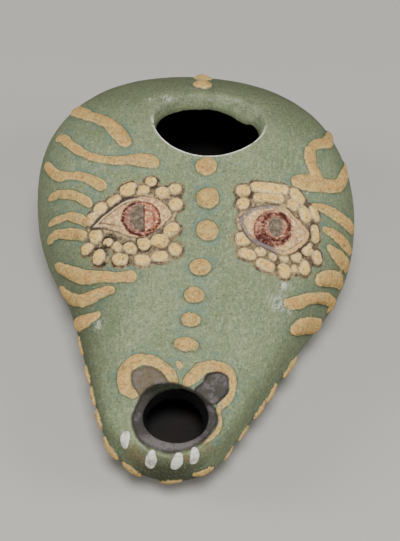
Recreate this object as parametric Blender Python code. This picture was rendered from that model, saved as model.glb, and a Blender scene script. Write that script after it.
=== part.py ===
"""Roman oil lamp of the slipper type, modelled as a beast's head: one hollow piece of fired clay.

Blender 4.5, metres, +Z up. The nozzle points to -Y and the rounded back to +Y. The flat
underside lies on z = 0, and the origin is under the middle of the lamp. The ornament is
raised clay: a row of dots down the spine, strokes on the cheeks, two beaded eyes, two
nostril arches and short dabs round the nozzle's edge.
"""
import math

import bmesh
import bpy
from mathutils import Vector

MM = 0.001

# Outline seen from above: an oval body that runs into a tapered nozzle
BODY_HALF_WIDTH = 32.5 * MM
BACK_LENGTH = 40.1 * MM
FRONT_LENGTH = 37.5 * MM
SHOULDER_STEP = 0.3 * MM
NOZZLE_RADIUS = 12.3 * MM
NOZZLE_CENTRE = 52.9 * MM
BLEND = 1.7 * MM
LEAN = 0.043
PINCH = 0.009

# Heights: the crown runs from the filling hole down to the nozzle, the seam joins the halves
CROWN_HEIGHT = 35.0 * MM
CROWN_Y = 0.7 * MM
NOZZLE_TOP = 17.2 * MM
BACK_DROP = 6.7
LEVELLING = 0.92
FALL_END = 1.25
SEAM_BACK = 15.5 * MM
SEAM_FRONT = 11.0 * MM
SIDE_POWER = 2.85
BACK_POWER = 2.6
FRONT_POWER = 4.1
BELLY_POWER = 2.7
BELLY_SINK = 3.0 * MM

# Walls and holes
WALL = 3.5 * MM
FILL_CENTRE = (1.75 * MM, 5.7 * MM)
FILL_CREST_RADIUS = 11.15 * MM
FILL_THROAT_RADIUS = 10.1 * MM
WICK_CENTRE = (2.3 * MM, -56.7 * MM)
WICK_RADIUS = 5.95 * MM
CHIP_RADIUS = 1.6 * MM
CHIP_BEARING = 35.0
CUT_OVER = 6.0 * MM

# Raised clay
ROOT = 0.9 * MM
STROKE_HEIGHT = 0.9 * MM
STROKE_WIDTH = 2.8 * MM
DOT_HEIGHT = 1.2 * MM
DOT_RISE = 0.6
EYE_HEIGHT = 0.7 * MM
BEAD_HEIGHT = 0.9 * MM
BEAD_WIDTH = 2.8 * MM
EDGE_DAB_LENGTH = 4.2 * MM
EDGE_DAB_WIDTH = 2.6 * MM
EDGE_DAB_DROP = 2.0 * MM

# Spine dots as (across, along, half width, half length): places in hundredths, see place()
SPINE_DOTS = (
    (-5, 71, 2.2, 2.2), (-3, 54, 2.2, 2.2),
    (8, -12, 2.0, 2.2), (11, -23, 2.2, 2.6), (13, -32, 2.2, 2.4), (11, -43, 2.2, 2.0),
    (9, -51, 2.0, 1.9), (9, -58, 2.0, 1.6), (8, -65, 2.5, 1.7), (5, -71, 0.6, 1.2),
)
# Strokes from the rim inwards, each with the few places that its bend needs
LEFT_STROKES = (
    ((-87, 43), (-70, 17), (-55, 6), (-41, -6)),
    ((-89, 10), (-71, -7), (-48, -11), (-22, -12)),
    ((-93, -5), (-78, -13), (-52, -19)),
    ((-89, -15), (-75, -18), (-60, -24)),
    ((-87, -21), (-74, -24), (-62, -28)),
    ((-86, -25), (-74, -28), (-63, -31)),
    ((-75, -34), (-64, -41), (-43, -46), (-26, -45)),
    ((-69, -42), (-61, -47), (-39, -49)),
    ((-58, -52), (-53, -55), (-44, -56)),
)
RIGHT_STROKES = (
    ((84, 39), (74, 8), (70, -8)),
    ((70, -9), (80, -8), (91, -3), (95, 17)),
    ((73, -18), (86, -16), (95, -11)),
    ((79, -22), (89, -21), (97, -16)),
    ((83, -26), (91, -25), (97, -21)),
    ((77, -36), (87, -31), (93, -27)),
    ((61, -47), (79, -40), (88, -34)),
    ((66, -53), (74, -47), (81, -41)),
)
NOSTRIL_ARCHES = (
    ((-27, -80), (-23, -71), (-15, -68.5), (-5, -69.5), (4, -74)),
    ((12, -75.5), (17, -71), (25, -69), (34, -71), (37, -77), (32, -82)),
)
# Eyes as (across, along, half length, half height, tilt in degrees)
EYES = ((-32, -29.5, 7.8, 4.0, 6.0), (53, -28.5, 7.0, 4.3, 0.0))
RING_BEADS = 12
OUTER_BEADS = 5
OUTER_BEAD_BEARINGS = (225, 315)
LEFT_EDGE_BEARINGS = (-116, -110.5, -107, -103.5, -99.5, -95.5)
FRONT_EDGE_BEARINGS = (-89, -83.5)
RIGHT_EDGE_BEARINGS = (-78, -74, -70, -65.5, -58)

# Facets
BODY_SEGMENTS = 52
BODY_RINGS = 22
CHAMBER_SEGMENTS = 28
CHAMBER_RINGS = 12
HOLE_SEGMENTS = 28

CLAY_GREEN = (0.24, 0.27, 0.19, 1.0)
SHARP_ANGLE = math.radians(40)
HEADING_STEP = 0.02
HAIR = 1e-6
SHOULDER_RADIUS = BODY_HALF_WIDTH - SHOULDER_STEP
NOZZLE_REACH = NOZZLE_CENTRE + NOZZLE_RADIUS
BOX_SHIFT = (NOZZLE_REACH + STROKE_HEIGHT - BACK_LENGTH) / 2


def rim_radius(bearing, inset=0.0):
    """Outline's distance from the body's centre: the larger of an oval and a nozzle hull, blended."""
    c, s = math.cos(bearing), math.sin(bearing)
    length = BACK_LENGTH if s > 0 else FRONT_LENGTH
    oval = 1 / math.hypot(c / (BODY_HALF_WIDTH - inset), s / (length - inset))
    shoulder = SHOULDER_RADIUS - inset
    tip = NOZZLE_RADIUS - inset
    off = abs(math.atan2(c, -s))
    tangent = math.acos((shoulder - tip) / NOZZLE_CENTRE)
    tip_start = math.atan2(tip * math.sin(tangent), NOZZLE_CENTRE + tip * math.cos(tangent))
    if off > tangent:
        hull = shoulder
    elif off > tip_start:
        hull = shoulder / math.cos(off - tangent)
    else:
        across = NOZZLE_CENTRE * math.sin(off)
        hull = NOZZLE_CENTRE * math.cos(off) + math.sqrt(tip * tip - across * across)
    near = max(BLEND - abs(oval - hull), 0.0)
    radius = max(oval, hull) + near * near / BLEND / 4
    return radius * (1 - LEAN * math.sin(2 * bearing) - PINCH * math.cos(3 * bearing))


def crown_height(y):
    """Height of the spine: a parabola behind the crown, an S-curve down to the nozzle before it."""
    back = y - CROWN_Y
    if back > 0:
        return CROWN_HEIGHT - BACK_DROP * back * back
    w = min(-back / (CROWN_Y + NOZZLE_CENTRE), FALL_END)
    fall = (1 - LEVELLING) * w * w + LEVELLING * (3 * w * w - 2 * w ** 3)
    return CROWN_HEIGHT - (CROWN_HEIGHT - NOZZLE_TOP) * fall


def seam_height(y):
    """Height of the widest line, falling evenly from the back to the nozzle."""
    w = min(max((y + NOZZLE_CENTRE) / (NOZZLE_CENTRE + BACK_LENGTH), 0.0), 1.0)
    return SEAM_FRONT + (SEAM_BACK - SEAM_FRONT) * w


def dome_power(bearing):
    """Squareness of the upper half: fuller over the nozzle than over the sides and the back."""
    s = math.sin(bearing)
    if s < 0:
        return SIDE_POWER + (FRONT_POWER - SIDE_POWER) * s ** 4
    return SIDE_POWER + (BACK_POWER - SIDE_POWER) * s ** 2


def skin(bearing, turn, inset=0.0, bottom=-BELLY_SINK):
    """Point of the skin: turn is 0 on the crown, a quarter circle on the seam, a half circle below.

    The sine of turn is the share of the rim's radius, and the height follows a superellipse.
    """
    power = dome_power(bearing) if turn < math.pi / 2 else BELLY_POWER
    share = min(max(math.sin(turn), 0.0), 1.0)
    rise = (1 - share ** power) ** (1 / power)
    x = share * rim_radius(bearing, inset) * math.cos(bearing)
    y = share * rim_radius(bearing, inset) * math.sin(bearing)
    seam = seam_height(y)
    if turn < math.pi / 2:
        z = seam + (crown_height(y) - inset - seam) * rise
    else:
        z = seam - (seam - bottom) * rise
    return Vector((x, y, z))


def place(across, along):
    """Place on the skin, as (bearing, turn), from hundredths of the half width and of the length.

    Along counts to the back's end where positive and to the nozzle's tip where negative. A
    place past the rim is laid down the flank below the seam by the same distance.
    """
    x = across / 100 * BODY_HALF_WIDTH
    y = along / 100 * (BACK_LENGTH if along > 0 else NOZZLE_REACH)
    bearing = math.atan2(y, x)
    rim = rim_radius(bearing)
    share = math.hypot(x, y) / rim
    if share > 1:
        return bearing, flank_turn(bearing, (share - 1) * rim)
    return bearing, math.asin(share)


def flank_turn(bearing, drop):
    """Turn at which the skin lies a given distance below the seam."""
    seam = seam_height(rim_radius(bearing) * math.sin(bearing))
    fall = drop / (seam + BELLY_SINK)
    return math.pi - math.asin((1 - fall ** BELLY_POWER) ** (1 / BELLY_POWER))


def settle(point):
    """Place on the skin, as (bearing, turn), that a point close to it belongs to."""
    bearing = math.atan2(point.y, point.x)
    share = math.hypot(point.x, point.y) / rim_radius(bearing)
    seam = seam_height(point.y)
    if point.z > seam:
        power = dome_power(bearing)
        rise = (point.z - seam) / (crown_height(point.y) - seam)
    else:
        power = BELLY_POWER
        rise = (seam - point.z) / (seam + BELLY_SINK)
    turn = math.asin(share / (share ** power + rise ** power) ** (1 / power))
    return bearing, turn if point.z > seam else math.pi - turn


def skin_frame(bearing, turn, heading):
    """Point, forward, sideways and outward directions on the skin, forward nearest to heading."""
    step = math.radians(1)
    point = skin(bearing, turn)
    down = skin(bearing, turn + step) - skin(bearing, max(turn - step, step / 4))
    around = skin(bearing + step, turn) - skin(bearing - step, turn)
    outward = down.cross(around).normalized()
    forward = (heading - outward * heading.dot(outward)).normalized()
    return point, forward, outward.cross(forward), outward


def spline(points, share):
    """Point of a Catmull-Rom curve through all the points, at a share of the way."""
    spans = len(points) - 1
    at = min(share * spans, spans - 1e-9)
    k = int(at)
    t = at - k
    p1, p2 = points[k], points[k + 1]
    p0 = points[k - 1] if k > 0 else p1 * 2 - p2
    p3 = points[k + 2] if k + 2 <= spans else p2 * 2 - p1
    bend = (p0 * 2 - p1 * 5 + p2 * 4 - p3) * (t * t) + (p1 * 3 - p0 - p2 * 3 + p3) * (t ** 3)
    return p1 + ((p2 - p0) * t + bend) / 2


def stroke(name, places, width, height, around=8, stations=8, blunt=3.0):
    """Raised stroke: a round-ended bar of clay bent along places on the skin and rooted in it."""
    points = [skin(*item) for item in places]
    bm = bmesh.new()
    bmesh.ops.create_uvsphere(bm, u_segments=around, v_segments=stations, radius=1.0)
    for vert in bm.verts:
        share = (1 + vert.co.z) / 2
        here = spline(points, share)
        ahead, behind = min(share + HEADING_STEP, 1.0), max(share - HEADING_STEP, 0.0)
        heading = spline(points, ahead) - spline(points, behind)
        point, _, sideways, outward = skin_frame(*settle(here), heading)
        ring = (1 - min(abs(vert.co.z), 1.0) ** blunt) ** (1 / blunt)
        flat = math.hypot(vert.co.x, vert.co.y) or 1.0
        side, rise = vert.co.x / flat * ring, vert.co.y / flat * ring
        if rise < 0 and abs(side) > HAIR:
            side = math.copysign(ring, side)
        lift = height * rise if rise > 0 else ROOT * rise
        vert.co = point + sideways * (side * width / 2) + outward * lift
    return ornament_object(name, bm)


def dome(around, rings):
    """Unit sphere whose lower half goes straight down, so that a pad has no gap under its edge."""
    bm = bmesh.new()
    bmesh.ops.create_uvsphere(bm, u_segments=around, v_segments=rings, radius=1.0)
    for vert in bm.verts:
        flat = math.hypot(vert.co.x, vert.co.y)
        if vert.co.z < 0 and flat > HAIR:
            vert.co.x /= flat
            vert.co.y /= flat
    return bm


def pad(name, where, half_length, half_width, height, tilt=0.0, around=8, rings=4):
    """Raised pad: an oval dome of clay set square to the skin, its long side tilted from +X."""
    heading = Vector((math.cos(tilt), math.sin(tilt), 0.0))
    point, forward, sideways, outward = skin_frame(*where, heading)
    bm = dome(around, rings)
    for vert in bm.verts:
        lift = vert.co.z * (height if vert.co.z > 0 else ROOT)
        vert.co = point + forward * (vert.co.x * half_length) + sideways * (vert.co.y * half_width) + outward * lift
    return ornament_object(name, bm)


def draped_pad(name, across, along, half_length, half_width, height, tilt, around=14, rings=6):
    """Raised pad wide enough to follow the skin's own curve, ring by ring."""
    base = skin(*place(across, along))
    bm = dome(around, rings)
    for vert in bm.verts:
        ahead, aside = vert.co.x * half_length, vert.co.y * half_width
        x = base.x + ahead * math.cos(tilt) - aside * math.sin(tilt)
        y = base.y + ahead * math.sin(tilt) + aside * math.cos(tilt)
        bearing = math.atan2(y, x)
        turn = math.asin(math.hypot(x, y) / rim_radius(bearing))
        point, _, _, outward = skin_frame(bearing, turn, Vector((1, 0, 0)))
        vert.co = point + outward * (vert.co.z * (height if vert.co.z > 0 else ROOT))
    return ornament_object(name, bm)


def ornament_object(name, bm):
    """Object for a raised form, kept out of view: the body is joined with it."""
    return mesh_object(name, bm, ORNAMENT)


def mesh_object(name, bm, collection):
    """Object from a bmesh, its faces outward, shaded smooth, in a collection and on the lamp's stand point."""
    bmesh.ops.recalc_face_normals(bm, faces=bm.faces)
    mesh = bpy.data.meshes.new(name)
    bm.to_mesh(mesh)
    bm.free()
    mesh.shade_smooth()
    mesh.set_sharp_from_angle(angle=SHARP_ANGLE)
    made = bpy.data.objects.new(name, mesh)
    collection.objects.link(made)
    made.parent = STAND_POINT
    if collection is not LAMP:
        made.hide_render = True
        made.display_type = "WIRE"
    return made


def even_bearings(count):
    """Bearings that share out the rim's length evenly, the first one at the nozzle's tip."""
    fine = 1440
    angles = [2 * math.pi * i / fine - math.pi / 2 for i in range(fine + 1)]
    rim = [Vector((math.cos(a), math.sin(a))) * rim_radius(a) for a in angles]
    run = [0.0]
    for a, b in zip(rim, rim[1:]):
        run.append(run[-1] + (b - a).length)
    found = []
    i = 0
    for k in range(count):
        goal = run[-1] * k / count
        while run[i + 1] < goal:
            i += 1
        part = (goal - run[i]) / (run[i + 1] - run[i])
        found.append(angles[i] + part * 2 * math.pi / fine)
    return found


def pressed_form(segments, rings, inset=0.0, bottom=-BELLY_SINK):
    """Closed lamp form: a sphere's grid laid on the skin, with the rim's length shared out evenly."""
    bearings = even_bearings(segments)
    bm = bmesh.new()
    bmesh.ops.create_uvsphere(bm, u_segments=segments, v_segments=rings, radius=1.0)
    for vert in bm.verts:
        turn = math.acos(min(max(vert.co.z, -1.0), 1.0))
        around = math.atan2(vert.co.y, vert.co.x) + math.pi / 2
        k = round(around / (2 * math.pi) * segments) % segments
        vert.co = skin(bearings[k], turn, inset, bottom)
    return bm


def body():
    """Outer form, cut off flat on z = 0 for the underside."""
    bm = pressed_form(BODY_SEGMENTS, BODY_RINGS)
    everything = bm.verts[:] + bm.edges[:] + bm.faces[:]
    cut = bmesh.ops.bisect_plane(bm, geom=everything, plane_co=(0, 0, 0), plane_no=(0, 0, -1), clear_outer=True)
    rim = [item for item in cut["geom_cut"] if isinstance(item, bmesh.types.BMEdge)]
    bmesh.ops.holes_fill(bm, edges=rim, sides=0)
    return mesh_object("lamp_body", bm, LAMP)


def oil_chamber():
    """Hollow inside: the outer form again, one wall further in."""
    return mesh_object("oil_chamber", pressed_form(CHAMBER_SEGMENTS, CHAMBER_RINGS, WALL, WALL), CUTTERS)


def hole_cutter(name, centre, low_radius, high_radius, low, high):
    """Upright round cutter between two heights, wider above where it is a funnel."""
    bm = bmesh.new()
    bmesh.ops.create_cone(bm, cap_ends=True, segments=HOLE_SEGMENTS, radius1=low_radius, radius2=high_radius,
                          depth=high - low)
    bmesh.ops.translate(bm, verts=bm.verts, vec=(centre[0], centre[1], (low + high) / 2))
    return mesh_object(name, bm, CUTTERS)


def filling_hole():
    """Funnel through the top wall: crest radius on the skin, throat radius one wall below."""
    crest = crown_height(FILL_CENTRE[1])
    slope = (FILL_CREST_RADIUS - FILL_THROAT_RADIUS) / WALL
    wide = FILL_CREST_RADIUS + slope * CUT_OVER
    narrow = FILL_THROAT_RADIUS - slope * CUT_OVER
    return hole_cutter("filling_hole", FILL_CENTRE, narrow, wide, crest - WALL - CUT_OVER, crest + CUT_OVER)


def wick_hole():
    """Round hole through the nozzle's top wall into the chamber."""
    top = crown_height(WICK_CENTRE[1])
    return hole_cutter("wick_hole", WICK_CENTRE, WICK_RADIUS, WICK_RADIUS, top - WALL - CUT_OVER, top + CUT_OVER)


def throat_chip():
    """Chip broken out of the filling hole's lower edge, at the right rear."""
    angle = math.radians(CHIP_BEARING)
    bm = bmesh.new()
    bmesh.ops.create_uvsphere(bm, u_segments=8, v_segments=6, radius=CHIP_RADIUS)
    x = FILL_CENTRE[0] + FILL_THROAT_RADIUS * math.cos(angle)
    y = FILL_CENTRE[1] + FILL_THROAT_RADIUS * math.sin(angle)
    bmesh.ops.translate(bm, verts=bm.verts, vec=(x, y, crown_height(y) - WALL))
    return mesh_object("throat_chip", bm, CUTTERS)


def spine_dots():
    """Row of pellets down the spine, from the back, round the filling hole, to the nostrils."""
    for k, (across, along, half_width, half_length) in enumerate(SPINE_DOTS):
        height = min(DOT_RISE * half_width * MM, DOT_HEIGHT)
        pad(f"spine_dot_{k + 1}", place(across, along), half_width * MM, half_length * MM, height)


def strokes():
    """Bent strokes on both cheeks and the arches over the nostrils."""
    for side, paths in (("left", LEFT_STROKES), ("right", RIGHT_STROKES), ("nostril", NOSTRIL_ARCHES)):
        for k, path in enumerate(paths):
            places = [place(*item) for item in path]
            stroke(f"{side}_stroke_{k + 1}", places, STROKE_WIDTH, STROKE_HEIGHT)


def edge_dabs():
    """Short dabs round the nozzle's edge, each running down across the seam."""
    for k, bearing in enumerate(LEFT_EDGE_BEARINGS + FRONT_EDGE_BEARINGS + RIGHT_EDGE_BEARINGS):
        bearing = math.radians(bearing)
        where = (bearing, flank_turn(bearing, EDGE_DAB_DROP))
        heading = skin(bearing + HEADING_STEP, where[1]) - skin(bearing - HEADING_STEP, where[1])
        tilt = math.atan2(heading.y, heading.x)
        pad(f"edge_dab_{k + 1}", where, EDGE_DAB_LENGTH / 2, EDGE_DAB_WIDTH / 2, STROKE_HEIGHT, tilt)


def eyes():
    """Two eyes: a low almond mound in a ring of beads, with a second row of beads below."""
    for side, (across, along, half_length, half_height, tilt) in zip(("left", "right"), EYES):
        tilt = math.radians(tilt)
        long_half, short_half = half_length * MM, half_height * MM
        draped_pad(f"{side}_eye", across, along, long_half, short_half, EYE_HEIGHT, tilt)
        centre = skin(*place(across, along))
        first, last = OUTER_BEAD_BEARINGS
        rows = [(360 * k / RING_BEADS, 0.5) for k in range(RING_BEADS)]
        rows += [(first + (last - first) * k / (OUTER_BEADS - 1), 1.5) for k in range(OUTER_BEADS)]
        for k, (angle, step) in enumerate(rows):
            angle = math.radians(angle)
            ahead = (long_half + BEAD_WIDTH * step) * math.cos(angle)
            aside = (short_half + BEAD_WIDTH * step) * math.sin(angle)
            x = centre.x + ahead * math.cos(tilt) - aside * math.sin(tilt)
            y = centre.y + ahead * math.sin(tilt) + aside * math.cos(tilt)
            where = place(x / BODY_HALF_WIDTH * 100, y / NOZZLE_REACH * 100)
            pad(f"{side}_bead_{k + 1}", where, BEAD_WIDTH / 2, BEAD_WIDTH / 2, BEAD_HEIGHT, 0.0, 6)


def clay_material():
    """Matt painted clay."""
    material = bpy.data.materials.new("painted_clay")
    material.use_nodes = True
    shader = material.node_tree.nodes["Principled BSDF"]
    shader.inputs["Base Color"].default_value = CLAY_GREEN
    shader.inputs["Roughness"].default_value = 0.85
    shader.inputs["Metallic"].default_value = 0.0
    return material


def boolean(target, name, operation, collection):
    """Exact boolean with everything in a collection."""
    modifier = target.modifiers.new(name, "BOOLEAN")
    modifier.operation = operation
    modifier.solver = "EXACT"
    modifier.operand_type = "COLLECTION"
    modifier.collection = collection


for old in list(bpy.data.objects):
    bpy.data.objects.remove(old)

LAMP = bpy.data.collections.new("roman_oil_lamp")
CUTTERS = bpy.data.collections.new("cutters")
ORNAMENT = bpy.data.collections.new("ornament")
for made in (LAMP, CUTTERS, ORNAMENT):
    bpy.context.scene.collection.children.link(made)
STAND_POINT = bpy.data.objects.new("stand_point", None)
STAND_POINT.location = (0.0, BOX_SHIFT, 0.0)
LAMP.objects.link(STAND_POINT)

lamp = body()
lamp.data.materials.append(clay_material())
spine_dots()
strokes()
edge_dabs()
eyes()
oil_chamber()
filling_hole()
wick_hole()
throat_chip()
boolean(lamp, "raised_clay", "UNION", ORNAMENT)
boolean(lamp, "hollow", "DIFFERENCE", CUTTERS)
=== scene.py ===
"""Roman oil lamp of the slipper type, painted as a beast's face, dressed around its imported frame.

The making below is in millimetres with the body's middle at x = y = 0, the nozzle towards -Y. The
last step of the mesh moves it to the frame's own place, in metres.
"""

import math

import bpy
import numpy as np
from mathutils import Matrix, Vector


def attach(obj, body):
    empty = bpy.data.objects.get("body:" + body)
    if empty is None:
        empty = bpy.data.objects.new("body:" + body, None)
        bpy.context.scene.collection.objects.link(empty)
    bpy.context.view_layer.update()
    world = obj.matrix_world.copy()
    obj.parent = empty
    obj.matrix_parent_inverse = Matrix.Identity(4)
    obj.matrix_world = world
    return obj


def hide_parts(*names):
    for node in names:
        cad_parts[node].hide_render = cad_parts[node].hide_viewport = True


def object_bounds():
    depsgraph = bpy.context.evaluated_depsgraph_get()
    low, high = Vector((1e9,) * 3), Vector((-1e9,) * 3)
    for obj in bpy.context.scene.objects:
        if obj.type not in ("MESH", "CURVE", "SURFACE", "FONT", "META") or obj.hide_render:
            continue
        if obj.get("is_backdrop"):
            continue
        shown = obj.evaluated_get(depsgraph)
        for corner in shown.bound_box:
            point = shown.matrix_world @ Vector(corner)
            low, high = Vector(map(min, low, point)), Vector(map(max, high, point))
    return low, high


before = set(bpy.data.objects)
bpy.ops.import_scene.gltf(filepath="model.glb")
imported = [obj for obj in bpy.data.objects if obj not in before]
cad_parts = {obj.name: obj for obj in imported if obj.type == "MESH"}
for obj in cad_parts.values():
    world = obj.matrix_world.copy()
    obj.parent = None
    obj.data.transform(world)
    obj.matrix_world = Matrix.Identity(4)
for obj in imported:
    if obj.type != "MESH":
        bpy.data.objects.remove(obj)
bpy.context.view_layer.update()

# The pressed clay form
# Two halves of clay are pressed in moulds and joined while wet along the widest line. The upper
# half is domed and runs down to the nozzle, and the lower half is a shallow bowl with a flat foot.
BODY_HALF_WIDTH = 32.5
BACK_LENGTH = 40.1
FRONT_LENGTH = 37.5
SHOULDER_RADIUS = 32.2
NOZZLE_RADIUS = 12.3
NOZZLE_CENTRE = 52.9
BLEND = 1.7
LEAN = 0.043
PINCH = 0.009
CROWN_HEIGHT = 35.0
CROWN_Y = 0.7
NOZZLE_TOP = 17.2
BACK_DROP = 0.0067
LEVELLING = 0.92
FALL_END = 1.25
SEAM_BACK = 15.5
SEAM_FRONT = 11.0
SIDE_POWER = 2.85
BACK_POWER = 2.6
FRONT_POWER = 4.1
BELLY_POWER = 2.7
BELLY_SINK = 3.0
FOOT_SOFTNESS = 0.7
WALL = 3.5
SLOPE_STEP = 0.01


def rim_radius(bearing, inset=0.0):
    """Outline seen from above, as a distance from the body's middle at each bearing: the larger of an
    oval and of the hull of two circles, shoulder and nozzle tip, blended where they meet, and then
    leaned and pinched a little by sines of two and three times the bearing."""
    c, s = np.cos(bearing), np.sin(bearing)
    length = np.where(s > 0, BACK_LENGTH, FRONT_LENGTH) - inset
    oval = 1 / np.hypot(c / (BODY_HALF_WIDTH - inset), s / length)
    shoulder, tip = SHOULDER_RADIUS - inset, NOZZLE_RADIUS - inset
    off = np.abs(np.arctan2(c, -s))
    tangent = math.acos((shoulder - tip) / NOZZLE_CENTRE)
    tip_start = math.atan2(tip * math.sin(tangent), NOZZLE_CENTRE + tip * math.cos(tangent))
    flank = shoulder / np.cos(np.minimum(off, tangent) - tangent)
    across = NOZZLE_CENTRE * np.sin(np.minimum(off, tip_start))
    end = NOZZLE_CENTRE * np.cos(off) + np.sqrt(tip * tip - across * across)
    hull = np.where(off > tangent, shoulder, np.where(off > tip_start, flank, end))
    near = np.maximum(BLEND - np.abs(oval - hull), 0)
    radius = np.maximum(oval, hull) + near * near / BLEND / 4
    return radius * (1 - LEAN * np.sin(2 * bearing) - PINCH * np.cos(3 * bearing))


def crown_height(y):
    """Height of the spine: a parabola behind the crown, and before it an S-curve down to the nozzle."""
    back = y - CROWN_Y
    w = np.clip(-back / (CROWN_Y + NOZZLE_CENTRE), 0, FALL_END)
    fall = (1 - LEVELLING) * w**2 + LEVELLING * (3 * w**2 - 2 * w**3)
    drop = np.where(back > 0, BACK_DROP * back**2, (CROWN_HEIGHT - NOZZLE_TOP) * fall)
    return CROWN_HEIGHT - drop


def seam_height(y):
    """Height of the widest line, falling evenly from the back to the nozzle."""
    w = np.clip((y + NOZZLE_CENTRE) / (NOZZLE_CENTRE + BACK_LENGTH), 0, 1)
    return SEAM_FRONT + (SEAM_BACK - SEAM_FRONT) * w


def dome_power(bearing):
    """Squareness of the upper half: the side's own, shaded into the front's and the back's by powers of
    the sine."""
    s = np.sin(bearing)
    front = (FRONT_POWER - SIDE_POWER) * s**4
    return SIDE_POWER + np.where(s < 0, front, (BACK_POWER - SIDE_POWER) * s**2)


def upper_skin(x, y, inset=0.0):
    """Height of the upper half over a plan place: seam to crown by a superellipse of the share of the
    rim's radius."""
    bearing = np.arctan2(y, x)
    share = np.minimum(np.hypot(x, y) / rim_radius(bearing, inset), 1)
    power = dome_power(bearing)
    seam = seam_height(y)
    return seam + (crown_height(y) - inset - seam) * (1 - share**power) ** (1 / power)


def lower_skin(x, y, inset=0.0, bottom=-BELLY_SINK):
    """Height of the lower half over a plan place: seam to bottom by a superellipse of the same share."""
    share = np.minimum(np.hypot(x, y) / rim_radius(np.arctan2(y, x), inset), 1)
    seam = seam_height(y)
    return seam - (seam - bottom) * (1 - share**BELLY_POWER) ** (1 / BELLY_POWER)


def skin_level(points):
    """One on the outer skin, less inside and more outside: the share of the rim's radius to its power, plus
    the rise's share to the same power."""
    x, y, z = points[..., 0], points[..., 1], points[..., 2]
    bearing = np.arctan2(y, x)
    share = np.hypot(x, y) / rim_radius(bearing)
    seam = seam_height(y)
    above = z > seam
    rise = np.where(above, (z - seam) / (crown_height(y) - seam), (seam - z) / (seam + BELLY_SINK))
    power = np.where(above, dome_power(bearing), BELLY_POWER)
    return share**power + rise**power


def outward(points):
    """Unit direction out of the skin: the slope of skin_level along x, y and z, by small differences."""
    slope = np.empty_like(points)
    for axis, shift in enumerate(np.eye(3) * SLOPE_STEP):
        slope[..., axis] = skin_level(points + shift) - skin_level(points - shift)
    return slope / np.linalg.norm(slope, axis=-1, keepdims=True)


# The holes
# The filling hole is a wide funnel cut through the crown with a blade, its lower edge left rough,
# and the wick hole is pierced through the nozzle's top. Both edges are rubbed and slightly rounded.
FILL_CENTRE = (1.75, 5.7)
FILL_CREST_RADIUS = 11.15
FILL_THROAT_RADIUS = 10.1
WICK_CENTRE = (2.3, -56.7)
WICK_RADIUS = 5.95
WICK_THROAT_CENTRE = (2.0, -55.9)
WICK_THROAT_RADIUS = 5.2
EDGE_ROUNDING = 0.45
FILL_STATIONS = 130
SPINE_STATIONS = 122
WICK_STATIONS = 58
RIM_BEARINGS = (90, -38, -76, -90)
TOP_ROWS = 94
FLANK_ROWS = 28
FOOT_ROWS = 7
EDGE_ROWS = (0.07, 0.16, 0.28, 0.45)
CHAMBER_TOP_ROWS = 10
CHAMBER_FLANK_ROWS = 5
CHAMBER_FOOT_ROWS = 3
FLANK_LIMIT = 0.8
FOOT_SHARE = 0.684
FOOT_SHIFT = 3.4
FINE = 240
RIM_FINE = 4001


def top_edge(side, fill_centre, fill_radius, wick_centre, wick_radius):
    """Inner edge of one side's top, in plan: half round the filling hole, straight along the spine, and half
    round the wick hole."""
    turn = np.linspace(0, np.pi, FILL_STATIONS + 1)
    round_fill = np.stack([side * np.sin(turn), np.cos(turn)], -1) * fill_radius + fill_centre
    turn = np.linspace(0, np.pi, WICK_STATIONS + 1)
    round_wick = np.stack([side * np.sin(turn), np.cos(turn)], -1) * wick_radius + wick_centre
    w = np.linspace(0, 1, SPINE_STATIONS + 1)[1:-1, None]
    spine_start = np.array([fill_centre[0], fill_centre[1] - fill_radius])
    spine_end = np.array([wick_centre[0], wick_centre[1] + wick_radius])
    return np.concatenate([round_fill, spine_start + (spine_end - spine_start) * w, round_wick])


def rim_edge(side, inset=0.0):
    """Outline of one side, in plan: its length is shared out evenly between the bearings of RIM_BEARINGS."""
    bearing = np.radians(90) - side * np.linspace(0, np.pi, RIM_FINE)
    rim = np.stack([np.cos(bearing), np.sin(bearing)], -1) * rim_radius(bearing, inset)[:, None]
    run = np.concatenate([[0], np.cumsum(np.linalg.norm(np.diff(rim, axis=0), axis=1))])
    knots = np.interp([90 - b for b in RIM_BEARINGS], np.linspace(0, 180, RIM_FINE), run)
    stations = np.cumsum([0, FILL_STATIONS, SPINE_STATIONS, WICK_STATIONS])
    goal = np.interp(np.arange(stations[-1] + 1), stations, knots)
    return np.stack([np.interp(goal, run, rim[:, k]) for k in range(2)], -1)


def spread_rows(lines, goal):
    """Points along many lines at once, at goal distances: each line's run is shifted clear of the others',
    so that a single sorted search serves them all. The first and last points stay as they are."""
    step = np.linalg.norm(np.diff(lines, axis=1), axis=2)
    run = np.concatenate([np.zeros((len(lines), 1)), np.cumsum(step, axis=1)], axis=1)
    shift = np.arange(len(lines))[:, None] * (run.max() + 1)
    at = (goal * 1.0 + shift).ravel()
    rows = np.stack([np.interp(at, (run + shift).ravel(), lines[..., k].ravel()) for k in range(3)], -1)
    rows = rows.reshape(goal.shape + (3,))
    rows[:, 0], rows[:, -1] = lines[:, 0], lines[:, -1]
    return rows


def run_length(lines, floor=0.0):
    """Length of each line, and the length of its part above the foot's arris."""
    step = np.linalg.norm(np.diff(lines, axis=1), axis=2)
    above = lines[:, 1:, 2] > floor + FOOT_SOFTNESS
    return step.sum(1)[:, None], (step * above).sum(1)[:, None]


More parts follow.
